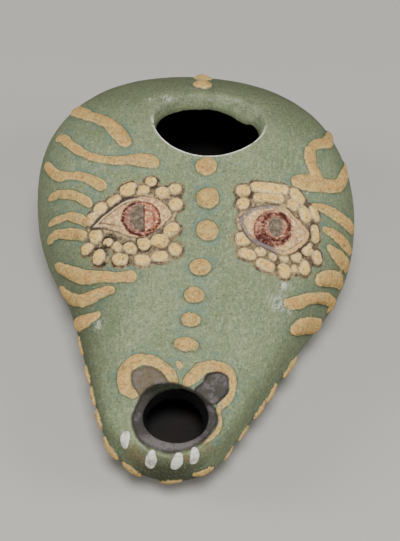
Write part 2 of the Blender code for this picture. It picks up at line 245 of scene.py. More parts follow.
def upper_rows(edge, rim, inset, rows, first=()):
    """Upper half's rows: straight in plan from the top edge to the rim, crowding towards the rim as a cube
    does, then evened by length, with a few rows close to the edge where it is rounded."""
    w = (1 - (1 - np.linspace(0, 1, FINE)) ** 3)[None, :, None]
    plan = edge[:, None] + (rim - edge)[:, None] * w
    lines = np.concatenate([plan, upper_skin(plan[..., 0], plan[..., 1], inset)[..., None]], -1)
    lines[:, -1, 2] = seam_height(rim[:, 1])
    length, _ = run_length(lines)
    start = first[-1] if first else 0.0
    even = start + (length - start) * np.linspace(0, 1, rows - len(first))[None]
    fixed = np.array([0.0, *first])[:len(first)]
    fixed = np.broadcast_to(fixed, (len(lines), len(first)))
    return spread_rows(lines, np.concatenate([fixed, even], 1))


def lower_rows(rim, inset, bottom, flank_rows, foot_rows):
    """Lower half's rows: straight in plan from the rim to the foot's middle line, the height softly kept
    above zero on the outside, which makes the flat foot and its rounded arris."""
    both = (rim_edge(1, inset)[:, 1] + rim_edge(-1, inset)[:, 1]) / 2
    middle = np.stack([np.zeros(len(rim)), both * FOOT_SHARE - FOOT_SHIFT], -1)
    w = (np.linspace(0, 1, FINE) ** 3)[None, :, None]
    plan = rim[:, None] + (middle - rim)[:, None] * w
    z = lower_skin(plan[..., 0], plan[..., 1], inset, bottom)
    if bottom < 0:
        z = (z + np.sqrt(z * z + FOOT_SOFTNESS**2)) / 2
    lines = np.concatenate([plan, z[..., None]], -1)
    lines[:, 0, 2] = seam_height(rim[:, 1])
    length, flank = run_length(lines, max(bottom, 0.0))
    flank = np.minimum(flank, FLANK_LIMIT * length)
    down = flank * np.linspace(0, 1, flank_rows + 1)[None]
    under = flank + (length - flank) * np.linspace(0, 1, foot_rows + 1)[None, 1:]
    return spread_rows(lines, np.concatenate([down, under], 1))


outer, inner = {}, {}
for side in (1, -1):
    edge = top_edge(side, FILL_CENTRE, FILL_CREST_RADIUS, WICK_CENTRE, WICK_RADIUS)
    rim = rim_edge(side)
    top = upper_rows(edge, rim, 0.0, TOP_ROWS, EDGE_ROWS)
    under = lower_rows(rim, 0.0, -BELLY_SINK, FLANK_ROWS, FOOT_ROWS)
    outer[side] = np.concatenate([top, under[:, 1:]], 1)
    edge = top_edge(side, FILL_CENTRE, FILL_THROAT_RADIUS, WICK_THROAT_CENTRE, WICK_THROAT_RADIUS)
    rim = rim_edge(side, WALL)
    top = upper_rows(edge, rim, WALL, CHAMBER_TOP_ROWS)
    under = lower_rows(rim, WALL, WALL, CHAMBER_FLANK_ROWS, CHAMBER_FOOT_ROWS)
    inner[side] = np.concatenate([top, under[:, 1:]], 1)
skin_points = np.concatenate([outer[1], outer[-1]]).reshape(-1, 3)
skin_normals = outward(skin_points)
on_upper_half = skin_points[:, 2] > seam_height(skin_points[:, 1]) - 0.01
LATTICE = 32
LATTICE_SHIFT = 97.3


def clay_unevenness(points, size, seed):
    """Smooth random height between -1 and 1: random numbers on a lattice of that size, blended by smooth
    steps."""
    lattice = np.random.default_rng(seed).uniform(-1, 1, (LATTICE, LATTICE, LATTICE))
    at = points / size + LATTICE_SHIFT
    cell = np.floor(at).astype(int)
    part = at - cell
    part = part * part * (3 - 2 * part)
    height = np.zeros(len(points))
    for corner in range(8):
        pick = np.array([corner & 1, corner >> 1 & 1, corner >> 2 & 1])
        i, j, k = ((cell + pick) % LATTICE).T
        height += lattice[i, j, k] * np.prod(np.where(pick, part, 1 - part), axis=1)
    return height


def unevenness_of(points, waves):
    """Sum of the unevenness of several waves, each a height, a size and a seed."""
    return sum(height * clay_unevenness(points, size, seed) for height, size, seed in waves)


# The raised strokes, pellets and dabs
# Thick cream slip is laid on the leather-hard clay with a brush or a quill: pellets down the spine,
# bent strokes on the cheeks, arches over the nostrils, and short dabs round the nozzle's edge.
STROKE_HEIGHT = 0.75
PELLET_HEIGHT = 1.1
ARCH_HEIGHT = 0.55
FULL_HALF_WIDTH = 1.1
STROKE_BULGE = 2.6
PELLET_BULGE = 2.2
SLIP_REACH = 3.5
THINNEST = 0.2
FAR = -3.0
# How far the slip's edge wanders, and how much its thickness varies: height, size and seed of each wave
EDGE_WANDER = ((0.15, 1.7, 5), (0.10, 0.8, 6))
SLIP_LUMPS = ((0.22, 2.1, 7), (0.16, 0.9, 9))
# Each stroke: its places on the skin, and the half width of the slip at each
CHEEK_STROKES = (
    ((-26.2, 11.7, 28.8, 1.51), (-24.3, 8.9, 30.6, 1.51), (-22.7, 6.8, 31.7, 1.33),
     (-20.3, 4.8, 32.8, 1.33), (-18.4, 3.0, 33.5, 1.33), (-16.6, 0.8, 33.9, 1.42),
     (-15.0, -1.5, 34.1, 1.42), (-13.9, -3.1, 34.0, 1.25)),
    ((-28.4, 2.9, 28.5, 0.9), (-27.0, 1.4, 29.7, 1.08), (-25.6, -0.9, 30.5, 0.99),
     (-23.0, -3.8, 31.3, 0.9), (-20.7, -5.6, 31.8, 0.81), (-18.6, -6.6, 32.2, 0.9),
     (-16.5, -7.2, 32.6, 0.9), (-14.5, -7.4, 32.9, 0.99), (-12.5, -7.4, 33.3, 1.17),
     (-10.5, -7.5, 33.5, 1.62), (-8.9, -7.8, 33.6, 1.62), (-7.9, -8.2, 33.5, 1.35)),
    ((-30.0, -2.8, 25.9, 1.04), (-29.1, -4.5, 26.5, 1.14), (-27.7, -6.7, 27.2, 1.04),
     (-26.1, -8.0, 28.0, 1.04), (-24.3, -8.7, 28.9, 0.85), (-22.2, -9.4, 29.8, 0.85),
     (-20.0, -10.7, 30.2, 1.04), (-18.2, -11.9, 30.4, 1.14), (-17.1, -12.8, 30.3, 0.85)),
    ((-28.5, -10.3, 23.9, 0.47), (-27.3, -10.8, 25.1, 0.85), (-26.0, -11.3, 26.2, 0.94),
     (-23.8, -12.5, 27.4, 0.94), (-21.5, -13.9, 28.0, 0.94), (-20.0, -15.0, 28.2, 0.94),
     (-19.2, -15.8, 28.1, 0.66)),
    ((-27.8, -14.6, 20.8, 0.5), (-26.5, -15.3, 22.5, 0.8), (-25.4, -15.8, 23.7, 0.8),
     (-23.2, -16.5, 25.3, 0.8), (-21.2, -17.7, 26.0, 1.0), (-19.4, -18.9, 26.3, 0.9)),
    ((-27.7, -16.3, 17.9, 0.69), (-27.1, -16.8, 19.2, 0.88), (-26.0, -17.5, 21.0, 0.88),
     (-24.6, -18.5, 22.3, 0.98), (-22.8, -19.5, 23.5, 1.08), (-21.0, -20.4, 24.3, 1.08),
     (-19.7, -21.2, 24.8, 0.98)),
    ((-25.4, -20.7, 15.4, 0.72), (-24.1, -22.6, 16.9, 1.24), (-22.0, -25.4, 18.8, 1.34),
     (-19.5, -28.0, 20.6, 1.44), (-17.4, -29.2, 21.7, 1.44), (-15.3, -29.7, 22.5, 1.24),
     (-13.3, -30.1, 23.1, 1.03), (-11.4, -30.3, 23.5, 1.03), (-9.3, -30.2, 23.8, 1.13)),
    ((-24.4, -22.5, 11.2, 0.56), (-23.6, -24.0, 12.0, 1.13), (-21.8, -27.5, 14.2, 1.41),
     (-19.2, -32.1, 18.0, 1.22), (-17.2, -33.0, 19.6, 1.41), (-15.3, -32.8, 21.0, 1.13),
     (-13.8, -32.6, 21.7, 0.94), (-12.8, -32.5, 22.0, 0.75)),
    ((-19.2, -34.4, 13.7, 1.22), (-18.5, -35.8, 15.5, 1.52), (-17.1, -36.8, 17.4, 1.29),
     (-15.9, -36.9, 18.5, 0.99), (-14.8, -36.6, 19.3, 0.68)),
    ((26.0, 15.2, 25.4, 0.79), (26.1, 11.4, 27.2, 1.23), (25.5, 7.5, 29.1, 1.32), (23.9, 5.0, 30.8, 1.23),
     (22.7, 2.5, 31.7, 0.97), (22.4, 0.3, 32.0, 1.23), (22.6, -1.5, 31.9, 1.23), (22.9, -2.7, 31.7, 1.14),
     (23.5, -3.9, 31.2, 1.23), (24.2, -5.3, 30.6, 1.32)),
    ((20.4, -8.0, 31.5, 1.3), (21.5, -7.6, 31.3, 1.77), (22.9, -7.1, 30.9, 1.86),
     (24.9, -6.6, 29.9, 1.49), (26.9, -5.3, 28.9, 1.49), (28.5, -3.5, 27.7, 1.3), (29.3, -0.5, 26.8, 1.3),
     (29.7, 3.0, 25.8, 0.93), (30.0, 6.0, 24.6, 0.65), (29.8, 8.4, 23.6, 0.37)),
    ((24.0, -11.6, 28.7, 0.68), (25.4, -11.2, 28.1, 0.94), (27.0, -10.8, 27.0, 1.1),
     (28.9, -10.3, 25.3, 1.27), (30.6, -9.3, 23.1, 1.36), (31.8, -8.1, 20.5, 1.19)),
    ((26.5, -14.6, 25.7, 0.65), (27.8, -14.3, 24.7, 0.94), (29.2, -13.8, 23.0, 1.15),
     (30.8, -12.7, 20.4, 1.22), (31.7, -11.5, 17.6, 1.01)),
    ((27.8, -17.0, 23.0, 0.88), (28.8, -16.8, 21.7, 1.2), (30.0, -16.0, 19.5, 1.44),
     (31.2, -14.0, 16.1, 1.36), (31.3, -13.7, 14.7, 0.88)),
    ((26.1, -23.1, 20.3, 1.24), (27.3, -21.9, 19.4, 1.58), (28.7, -20.1, 18.0, 1.58),
     (30.0, -17.9, 15.4, 1.58), (30.6, -16.4, 12.9, 1.0)),
    ((20.6, -30.6, 20.6, 0.97), (21.7, -29.9, 20.1, 1.23), (23.2, -28.6, 19.5, 1.23),
     (24.7, -26.9, 18.7, 1.14), (26.7, -24.6, 16.9, 1.23), (28.3, -22.0, 14.1, 1.14),
     (29.1, -20.3, 11.1, 1.14), (28.5, -21.6, 10.8, 0.7)),
    ((22.0, -33.8, 17.0, 1.02), (23.0, -32.3, 16.2, 1.61), (24.4, -29.8, 14.3, 1.78),
     (26.0, -26.5, 11.0, 1.7), (26.5, -25.4, 10.0, 1.36)),
)
# The arches over the nostrils, the drop between them, and the run of slip down the mouth's right side
NOSTRIL_ARCHES = (
    ((-5.9, -52.9, 16.2, 0.9), (-7.4, -51.7, 16.2, 1.2), (-8.0, -50.0, 16.5, 1.3),
     (-8.1, -48.4, 16.8, 1.3), (-7.4, -47.0, 17.3, 1.3), (-6.1, -46.0, 17.7, 1.2),
     (-4.5, -45.7, 17.8, 1.1), (-2.8, -46.0, 17.8, 1.1), (-1.1, -47.0, 17.6, 1.1),
     (0.4, -48.3, 17.3, 1.0), (1.1, -49.4, 17.0, 0.8)),
    ((3.6, -49.8, 16.9, 0.8), (4.1, -48.9, 17.1, 1.2), (5.0, -47.7, 17.3, 1.3), (6.0, -46.5, 17.6, 1.3),
     (7.2, -45.9, 17.7, 1.2), (8.6, -45.7, 17.7, 1.1), (10.2, -45.9, 17.4, 1.1), (11.4, -46.9, 16.9, 0.9),
     (11.8, -48.5, 16.3, 0.7), (11.7, -50.4, 15.9, 0.7), (11.0, -52.1, 15.7, 0.7),
     (10.0, -53.7, 15.7, 0.6), (9.7, -54.7, 15.7, 0.5)),
    ((1.5, -45.8, 17.9, 0.4), (2.0, -46.5, 17.7, 0.5)),
    ((9.7, -54.6, 15.7, 0.3), (10.0, -55.5, 15.5, 0.4), (10.3, -57.1, 15.2, 0.4),
     (10.0, -58.6, 15.0, 0.4), (8.9, -60.4, 15.0, 0.4), (7.9, -61.6, 15.0, 0.3)),
)
# Each pellet: its place, its half width and its half length
PELLETS = (
    (-1.7, 28.4, 2.0, 2.4), (-1.2, 21.3, 2.1, 2.2), (2.6, -8.1, 2.1, 2.1), (3.6, -14.9, 2.15, 2.3),
    (4.1, -21.1, 2.1, 2.1), (3.6, -27.9, 2.1, 1.7), (3.0, -33.0, 1.9, 1.6), (2.9, -37.4, 1.85, 1.4),
    (2.6, -42.2, 2.3, 1.4),
)
# The dabs round the nozzle, given as the strokes are
NOZZLE_DABS = (
    ((-18.5, -36.3, 11.5, 0.9), (-18.0, -37.7, 11.5, 1.1), (-17.5, -39.1, 11.5, 0.9)),
    ((-15.9, -43.3, 11.5, 0.9), (-15.5, -44.5, 11.4, 1.1), (-15.0, -45.9, 11.3, 0.9)),
    ((-14.1, -48.3, 11.2, 0.9), (-13.6, -49.7, 11.2, 1.1), (-13.1, -51.0, 11.1, 0.9)),
    ((-12.2, -53.5, 10.8, 1.0), (-11.7, -54.8, 10.9, 1.2), (-11.2, -56.1, 10.9, 1.0)),
    ((-9.8, -59.0, 9.7, 1.1), (-9.0, -60.0, 9.2, 1.4), (-8.0, -61.0, 8.8, 1.1)),
    ((-5.8, -62.6, 8.3, 0.9), (-4.6, -63.3, 7.9, 1.2), (-3.7, -63.6, 7.2, 0.9)),
    ((0.8, -64.0, 6.2, 0.7), (2.4, -64.6, 7.0, 0.9), (3.9, -64.5, 7.5, 0.7)),
    ((6.8, -63.9, 9.0, 0.7), (8.0, -63.1, 9.1, 0.9), (9.2, -62.0, 8.7, 0.7)),
    ((11.4, -58.8, 8.2, 0.7), (11.8, -57.9, 8.2, 0.9), (12.3, -56.9, 8.2, 0.7)),
    ((13.7, -53.8, 8.3, 0.8), (14.2, -52.7, 8.3, 1.0), (14.6, -51.6, 8.3, 0.8)),
    ((16.1, -48.4, 8.4, 0.8), (16.7, -47.1, 8.7, 1.1), (17.2, -46.0, 9.2, 0.8)),
    ((18.0, -44.2, 8.7, 0.9), (18.6, -42.8, 8.8, 1.1), (19.1, -41.8, 9.5, 0.9)),
    ((20.9, -37.6, 8.9, 1.0), (21.7, -35.9, 9.0, 1.2), (22.4, -34.2, 9.1, 1.0)),
)


def curve_through(p, at):
    """Catmull-Rom curve through places, with one more at either end: each span blends its four nearest
    places by cubic weights."""
    k = at.astype(int)
    t = (at - k)[:, None]
    a, b, c, d = p[k], p[k + 1], p[k + 2], p[k + 3]
    return b + ((c - a) * t + (2 * a - 5 * b + 4 * c - d) * t**2 + (3 * b - a - 3 * c + d) * t**3) / 2


def smooth_line(places, count=90):
    """Smooth curve through places, from the first to the last: the end spans are carried on straight."""
    p = np.array(places, float)
    p = np.concatenate([2 * p[:1] - p[1:2], p, 2 * p[-1:] - p[-2:-1]])
    return curve_through(p, np.linspace(0, len(places) - 1 - 1e-9, count))


def on_skin(points):
    """Points pulled onto the skin: twice, the level's excess over one is divided by its slope and taken
    off."""
    for _ in range(2):
        way = outward(points)
        step = way * SLOPE_STEP
        slope = (skin_level(points + step) - skin_level(points - step)) / (2 * SLOPE_STEP)
        points = points - way * ((skin_level(points) - 1) / slope)[:, None]
    return points


def on_top(plan):
    """Plan places lifted onto the upper skin."""
    return np.stack([plan[:, 0], plan[:, 1], upper_skin(plan[:, 0], plan[:, 1])], -1)


def stroke_depth(places, reach=SLIP_REACH):
    """Skin points near a stroke, how deep each lies inside its edge, and the half width there: the half
    width of the nearest place on the smooth line, less the distance to it."""
    line = smooth_line(places)
    half_widths = np.maximum(line[:, 3], THINNEST)
    line = on_skin(line[:, :3])
    near = np.flatnonzero(((skin_points > line.min(0) - reach) & (skin_points < line.max(0) + reach)).all(1))
    inside = half_widths - np.linalg.norm(skin_points[near, None] - line[None], axis=2)
    best = inside.argmax(1)
    return near, inside[np.arange(len(near)), best], half_widths[best]


cream_depth = np.full(len(skin_points), FAR)
raised = np.zeros(len(skin_points))
edge_wander = unevenness_of(skin_points, EDGE_WANDER)
slip_lumps = 1 + unevenness_of(skin_points, SLIP_LUMPS)
slip_laid = ((CHEEK_STROKES, STROKE_HEIGHT), (NOSTRIL_ARCHES, ARCH_HEIGHT), (NOZZLE_DABS, STROKE_HEIGHT))
for strokes, height in slip_laid:
    for places in strokes:
        near, depth, half = stroke_depth(places)
        fullness = np.minimum(half / FULL_HALF_WIDTH, 1)
        depth = depth + edge_wander[near] * fullness
        cream_depth[near] = np.maximum(cream_depth[near], depth)
        bulge = np.sqrt(1 - np.clip(1 - depth / half, 0, 1) ** STROKE_BULGE)
        raised[near] = np.maximum(raised[near], height * (bulge * fullness * slip_lumps[near]))
for x, y, half_width, half_length in PELLETS:
    centre = on_top(np.array([[x, y]]))[0]
    near = np.flatnonzero((np.abs(skin_points - centre) < SLIP_REACH).all(1))
    away = skin_points[near] - centre
    share = np.hypot(away[:, 0] / half_width, np.hypot(away[:, 1], away[:, 2]) / half_length)
    depth = (1 - share) * min(half_width, half_length) + edge_wander[near]
    cream_depth[near] = np.maximum(cream_depth[near], depth)
    bulge = np.sqrt(1 - np.clip(share - edge_wander[near] / half_width, 0, 1) ** PELLET_BULGE)
    raised[near] = np.maximum(raised[near], PELLET_HEIGHT * bulge * slip_lumps[near])


# The eyes
# Each eye is a low almond mound with a painted iris, in a patch of small raised beads like scales.
# The iris, the pupil and the lid lines are paint and stand no higher than the mound.
MOUND_HEIGHT = 0.55
BEAD_HEIGHT = 0.8
BEAD_GAP = 0.14
BEAD_SPREAD = 0.12
BEAD_ROUNDING = 0.75
BEAD_CLEAR = 0.15
BEAD_WANDER = 0.9
MOUND_ROUNDING = 3.6
PATCH_MARGIN = 0.55
LID_MARGIN = 0.9
PATCH_HEIGHT = 0.14
PATCH_ROUNDING = 0.4
PATCH_REACH = 4
PATCH_WANDER = 0.5
LOWEST_BEAD = 18
BETWEEN_EYES = 3.2
EDGE_STEPS = 8
ALMONDS = (
    ((-18.3, -20.4), (-17.5, -19.5), (-16.3, -18.4), (-14.9, -17.5), (-13.3, -16.4), (-11.6, -15.7),
     (-9.5, -15.4), (-7.3, -15.5), (-5.5, -16.0), (-4.0, -17.1), (-2.8, -18.7), (-3.7, -20.1),
     (-5.2, -21.7), (-7.2, -23.0), (-9.2, -23.3), (-11.2, -22.8), (-13.5, -21.8), (-16.0, -21.0)),
    ((10.1, -18.2), (11.0, -16.9), (12.0, -15.8), (13.7, -14.9), (15.6, -14.3), (17.5, -14.0),
     (19.1, -14.3), (20.3, -15.0), (21.6, -15.7), (22.6, -16.3), (23.4, -16.8), (23.6, -17.6),
     (22.9, -19.2), (21.8, -20.6), (20.6, -21.9), (19.1, -22.8), (17.6, -23.0), (16.0, -22.7),
     (14.2, -22.4), (12.4, -21.7), (11.0, -20.3)),
)
# Each bead: the two ends of its middle, its half width, and how dark the line round it is
BEADS = (
    (-12.2, -14.1, -11.5, -13.7, 1.39, 0.9), (-9.2, -14.3, -8.9, -14.3, 1.12, 0.5),
    (-7.8, -12.5, -7.6, -12.5, 1.05, 0.9), (-5.4, -14.6, -5.1, -14.7, 1.23, 0.5),
    (-2.8, -13.7, -2.7, -13.8, 1.15, 0.6), (-2.4, -16.6, -2.4, -16.7, 1.21, 0.4),
    (-14.9, -16.1, -13.9, -15.6, 0.97, 0.8), (-17.1, -17.3, -16.7, -17.0, 1.19, 0.6),
    (-18.6, -18.8, -18.2, -18.5, 1.13, 0.35), (-17.2, -21.9, -16.9, -22.4, 1.25, 0.5),
    (-14.5, -23.8, -14.3, -23.8, 0.83, 1.0), (-18.6, -24.0, -18.4, -23.9, 1.1, 0.6),
    (-15.9, -26.6, -15.8, -25.9, 1.22, 1.0), (-12.7, -24.7, -12.5, -24.9, 0.81, 0.45),
    (-10.3, -25.0, -10.0, -25.3, 1.12, 0.8), (-7.7, -24.3, -7.5, -24.5, 1.23, 1.0),
    (-4.9, -23.7, -4.3, -23.8, 1.3, 0.5), (-2.9, -21.9, -2.3, -21.4, 1.19, 0.55),
    (-1.5, -25.1, -1.5, -25.2, 1.18, 0.35), (-4.8, -26.6, -3.7, -26.6, 1.02, 0.45),
    (-8.1, -27.4, -7.0, -27.4, 0.98, 0.45), (-12.1, -27.1, -11.3, -27.2, 1.12, 0.8),
    (10.0, -12.7, 10.5, -12.5, 1.16, 0.8), (10.3, -15.3, 10.6, -15.1, 1.08, 0.6),
    (12.6, -11.4, 17.8, -10.7, 1.09, 0.35), (13.2, -13.5, 17.2, -12.8, 0.91, 0.4),
    (20.0, -10.7, 21.1, -11.6, 1.07, 0.5), (19.7, -13.1, 20.1, -13.2, 1.05, 0.5),
    (21.8, -13.4, 22.5, -14.6, 0.97, 0.5), (23.8, -12.4, 24.4, -13.5, 0.87, 0.7),
    (24.4, -15.9, 24.7, -17.3, 0.91, 0.8), (11.0, -21.8, 11.4, -21.7, 1.42, 0.5),
    (11.5, -24.3, 12.9, -24.5, 0.94, 0.35), (14.4, -23.4, 14.6, -23.5, 0.89, 0.4),
    (14.9, -25.5, 16.5, -25.7, 0.95, 0.35), (19.0, -23.3, 19.2, -23.3, 0.81, 0.6),
    (19.3, -25.3, 19.4, -25.6, 1.26, 0.6), (21.2, -22.3, 21.6, -22.2, 0.94, 0.5),
    (22.8, -23.1, 23.0, -23.4, 1.3, 0.6), (23.2, -20.2, 23.4, -19.7, 1.05, 1.0),
    (25.2, -20.1, 25.4, -20.4, 1.1, 0.6), (16.8, -23.8, 17.0, -23.8, 0.68, 0.5),
    (21.1, -24.3, 21.2, -24.5, 0.68, 0.8),
)


def depth_inside(points, outline):
    """Signed distance in plan to a closed smooth outline, more than zero inside: the nearest edge point
    gives the distance, and the number of edges crossed by a ray to +X gives the sign."""
    p = np.array(outline, float)
    p = np.concatenate([p[-1:], p, p[:2]])
    loop = curve_through(p, np.arange(len(outline) * EDGE_STEPS) / EDGE_STEPS)
    step = np.roll(loop, -1, 0) - loop
    away = points[:, None] - loop[None]
    share = np.clip((away * step).sum(2) / (step * step).sum(1), 0, 1)
    gap = np.linalg.norm(away - step * share[..., None], axis=2).min(1)
    over = (loop[None, :, 1] > points[:, 1:2]) != (np.roll(loop, -1, 0)[None, :, 1] > points[:, 1:2])
    safe = np.where(step[:, 1] == 0, 1, step[:, 1])
    crossing = loop[:, 0] + (points[:, 1:2] - loop[:, 1]) * step[:, 0] / safe
    inside = (over & (points[:, 0:1] < crossing)).sum(1) % 2 == 1
    return np.where(inside, gap, -gap)


def depth_field(outlines, reach=-FAR):
    """Signed distance to the nearest of several outlines for every point of the upper skin, minus reach
    elsewhere."""
    depth = np.full(len(skin_points), -reach)
    plan = skin_points[:, :2]
    for outline in outlines:
        low, high = np.min(outline, 0) - reach, np.max(outline, 0) + reach
        near = np.flatnonzero(((plan > low) & (plan < high)).all(1) & on_upper_half)
        depth[near] = np.maximum(depth[near], depth_inside(plan[near], outline))
    return depth


almond_depth = depth_field(ALMONDS)
beads = np.array(BEADS)
bead_start, bead_end = on_top(beads[:, :2]), on_top(beads[:, 2:4])
bead_run = bead_end - bead_start
low, high = beads[:, :2].min(0) - PATCH_REACH, beads[:, 2:4].max(0) + PATCH_REACH
framed = ((skin_points[:, :2] > low) & (skin_points[:, :2] < high)).all(1)
near = np.flatnonzero(framed & (skin_points[:, 2] > LOWEST_BEAD))
away = skin_points[near, None] - bead_start[None]
share = np.clip((away * bead_run).sum(2) / (bead_run * bead_run).sum(1), 0, 1)
gaps = np.linalg.norm(away - bead_run * share[..., None], axis=2) - beads[:, 4] - BEAD_SPREAD
closest = gaps.argsort(axis=1)[:, :2]
gap, next_gap = np.take_along_axis(gaps, closest, 1).T
bead_depth = np.full(len(skin_points), FAR)
bead_depth[near] = np.minimum(-gap, (next_gap - gap - BEAD_GAP) / 2) + BEAD_WANDER * edge_wander[near]
bead_depth = np.minimum(bead_depth, -almond_depth - BEAD_CLEAR)
patch_depth = np.full(len(skin_points), FAR)
patch_depth[near] = PATCH_MARGIN - gap + PATCH_WANDER * edge_wander[near]
patch_depth = np.maximum(patch_depth, almond_depth + LID_MARGIN)
bead_line = np.zeros(len(skin_points))
bead_line[near] = beads[closest[:, 0], 5]
bead_bulge = np.sqrt(1 - np.clip(1 - bead_depth / BEAD_ROUNDING, 0, 1) ** 2)
raised = np.maximum(raised, BEAD_HEIGHT * bead_bulge * slip_lumps)
mound_bulge = np.sqrt(1 - np.clip(1 - almond_depth / MOUND_ROUNDING, 0, 1) ** 2)
raised = np.maximum(raised, MOUND_HEIGHT * mound_bulge)
patch_rise = PATCH_HEIGHT * np.clip(patch_depth / PATCH_ROUNDING, 0, 1)
raised = np.where(cream_depth > 0, raised, np.maximum(raised, patch_rise))

# Iris places: how far across and along each point lies from its iris's middle, in half widths and half
# heights. Each iris has its middle, its half width's step and its half height's step.
IRISES = (((-8.6, -19.7), (3.75, 0.0), (-0.45, 3.35)), ((16.5, -18.7), (3.7, 1.0), (-0.35, 3.45)))
eye_place = np.zeros((len(skin_points), 3))
for k, (middle, half_across, half_along) in enumerate(IRISES):
    mine = (skin_points[:, 0] >= BETWEEN_EYES) == k
    turned = np.linalg.inv(np.array([half_across, half_along]))
    eye_place[mine, :2] = (skin_points[mine, :2] - middle) @ turned
    eye_place[mine, 2] = k

# The nose and mouth
# The nostrils, a band round the wick hole and four teeth are painted on the smooth nozzle: grey for
# the nostrils and the band, chalk white for the teeth, with a few brown smudges between them.
NOSTRILS = (
    ((-6.8, -48.2), (-5.9, -47.5), (-4.9, -47.1), (-3.6, -46.9), (-2.3, -47.3), (-1.0, -48.2),
     (0.0, -49.5), (0.5, -50.5), (-1.2, -51.1), (-2.9, -52.3), (-4.0, -53.5), (-5.1, -52.7),
     (-6.1, -51.2), (-6.7, -49.6)),
    ((5.1, -50.6), (5.9, -49.7), (6.6, -48.6), (6.9, -47.6), (7.9, -47.0), (9.5, -46.7), (10.7, -47.2),
     (11.1, -48.7), (11.1, -50.4), (10.2, -51.9), (9.2, -53.3), (8.0, -53.8), (6.7, -53.2), (5.4, -51.9)),
)
WICK_BAND = (
    (-5.4, -58.4), (-5.2, -56.2), (-4.7, -54.1), (-4.2, -52.4), (-2.7, -50.7), (-0.8, -50.1),
    (1.4, -50.0), (3.6, -50.5), (5.6, -51.4), (7.2, -52.6), (9.0, -54.2), (9.7, -56.2), (9.3, -58.6),
    (7.7, -61.4), (5.9, -63.0), (3.9, -64.0), (1.7, -64.4), (-0.5, -64.1), (-2.6, -63.2), (-4.2, -61.5),
)
# The teeth, given as the strokes are
TEETH = (
    ((-6.0, -61.3, 14.7, 0.8), (-6.1, -61.9, 14.3, 1.0), (-6.1, -62.5, 13.6, 0.8)),
    ((-0.9, -64.4, 14.4, 0.6), (-1.1, -64.9, 13.2, 1.0), (-1.4, -65.1, 11.6, 0.8)),
    ((3.7, -64.5, 14.3, 0.7), (3.5, -64.9, 13.2, 1.0), (3.2, -65.2, 12.0, 0.8)),
    ((6.3, -63.1, 14.5, 0.6), (6.4, -63.6, 13.8, 0.85), (6.3, -64.0, 12.8, 0.75)),
)
# Smudges of brown, rubs of white and blots of soot: place and reach
SMUDGES = (
    (-4.7, -63.7, 12.1, 1.3), (-3.0, -64.5, 12.4, 1.0), (5.0, -64.5, 13.7, 0.9), (8.2, -62.1, 14.6, 1.1),
    (-4.4, -63.5, 14.1, 0.9),
)
RUBS = (
    (19.4, -27.8, 22.8, 1.0), (18.6, -31.4, 21.3, 1.4), (21.1, -31.1, 19.9, 0.9),
    (-14.5, -38.5, 18.5, 0.9), (16.2, -24.9, 25.5, 1.2), (-11.0, 11.8, 33.4, 0.9),
    (-8.1, 13.4, 33.2, 1.1),
)
BLOTS = (
    (-16.9, -24.3, 24.7, 0.45), (-16.3, -24.8, 24.7, 0.5), (-14.2, -22.5, 26.7, 0.65),
    (-15.0, -22.8, 26.3, 0.55), (-13.2, -23.3, 26.6, 0.45), (-14.7, -24.5, 25.6, 0.5),
    (-13.2, -25.4, 25.5, 0.4), (-14.8, -27.7, 23.8, 0.4), (-17.0, -26.4, 23.5, 0.4),
    (-8.7, -24.8, 26.7, 0.4), (-8.2, -25.6, 26.3, 0.4), (-11.0, -27.3, 25.0, 0.3),
    (21.8, -20.7, 25.4, 0.4), (24.1, -19.3, 24.9, 0.5), (21.9, -23.3, 23.9, 0.5),
)
TOOTH_HEIGHT = 0.2
TOOTH_ROUNDING = 0.3
TOOTH_REACH = 2.0
TOOTH_WANDER = 0.4
WICK_REACH = 6
FILL_REACH = 12
nostril_depth = depth_field(NOSTRILS)
band_depth = depth_field((WICK_BAND,))
tooth_depth = np.full(len(skin_points), FAR)
for places in TEETH:
    near, depth, half = stroke_depth(places, TOOTH_REACH)
    tooth_depth[near] = np.maximum(tooth_depth[near], depth + TOOTH_WANDER * edge_wander[near])
smudge, rub, blot = np.zeros((3, len(skin_points)))
for field, spots in ((smudge, SMUDGES), (rub, RUBS), (blot, BLOTS)):
    for x, y, z, size in spots:
        field += np.exp(-((skin_points - (x, y, z)) ** 2).sum(1) / size**2)
raised = np.maximum(raised, TOOTH_HEIGHT * np.clip(tooth_depth / TOOTH_ROUNDING, 0, 1))


def hole_distance(centre, radius, reach):
    """Distance in plan of each skin point from a hole's edge: the length of the step from its centre, less
    the radius, and no more than reach, which is also what the lower half gets."""
    distance = np.hypot(skin_points[:, 0] - centre[0], skin_points[:, 1] - centre[1]) - radius
    return np.where(on_upper_half, np.minimum(distance, reach), reach)


wick_distance = hole_distance(WICK_CENTRE, WICK_RADIUS, WICK_REACH)
fill_distance = hole_distance(FILL_CENTRE, FILL_CREST_RADIUS, FILL_REACH)

# The finished surface
# Raised clay stands square to the skin. The whole lamp is a little uneven, as hand-pressed clay is. The
# edges of both holes are rounded by handling, and the filling hole's edge is softest at its back.
SOFTEST_EDGE = 1.5
SOFTENING_POWER = 1.5
FLAT_BELOW = 1.0
UNEVEN_ABOVE = 4.0
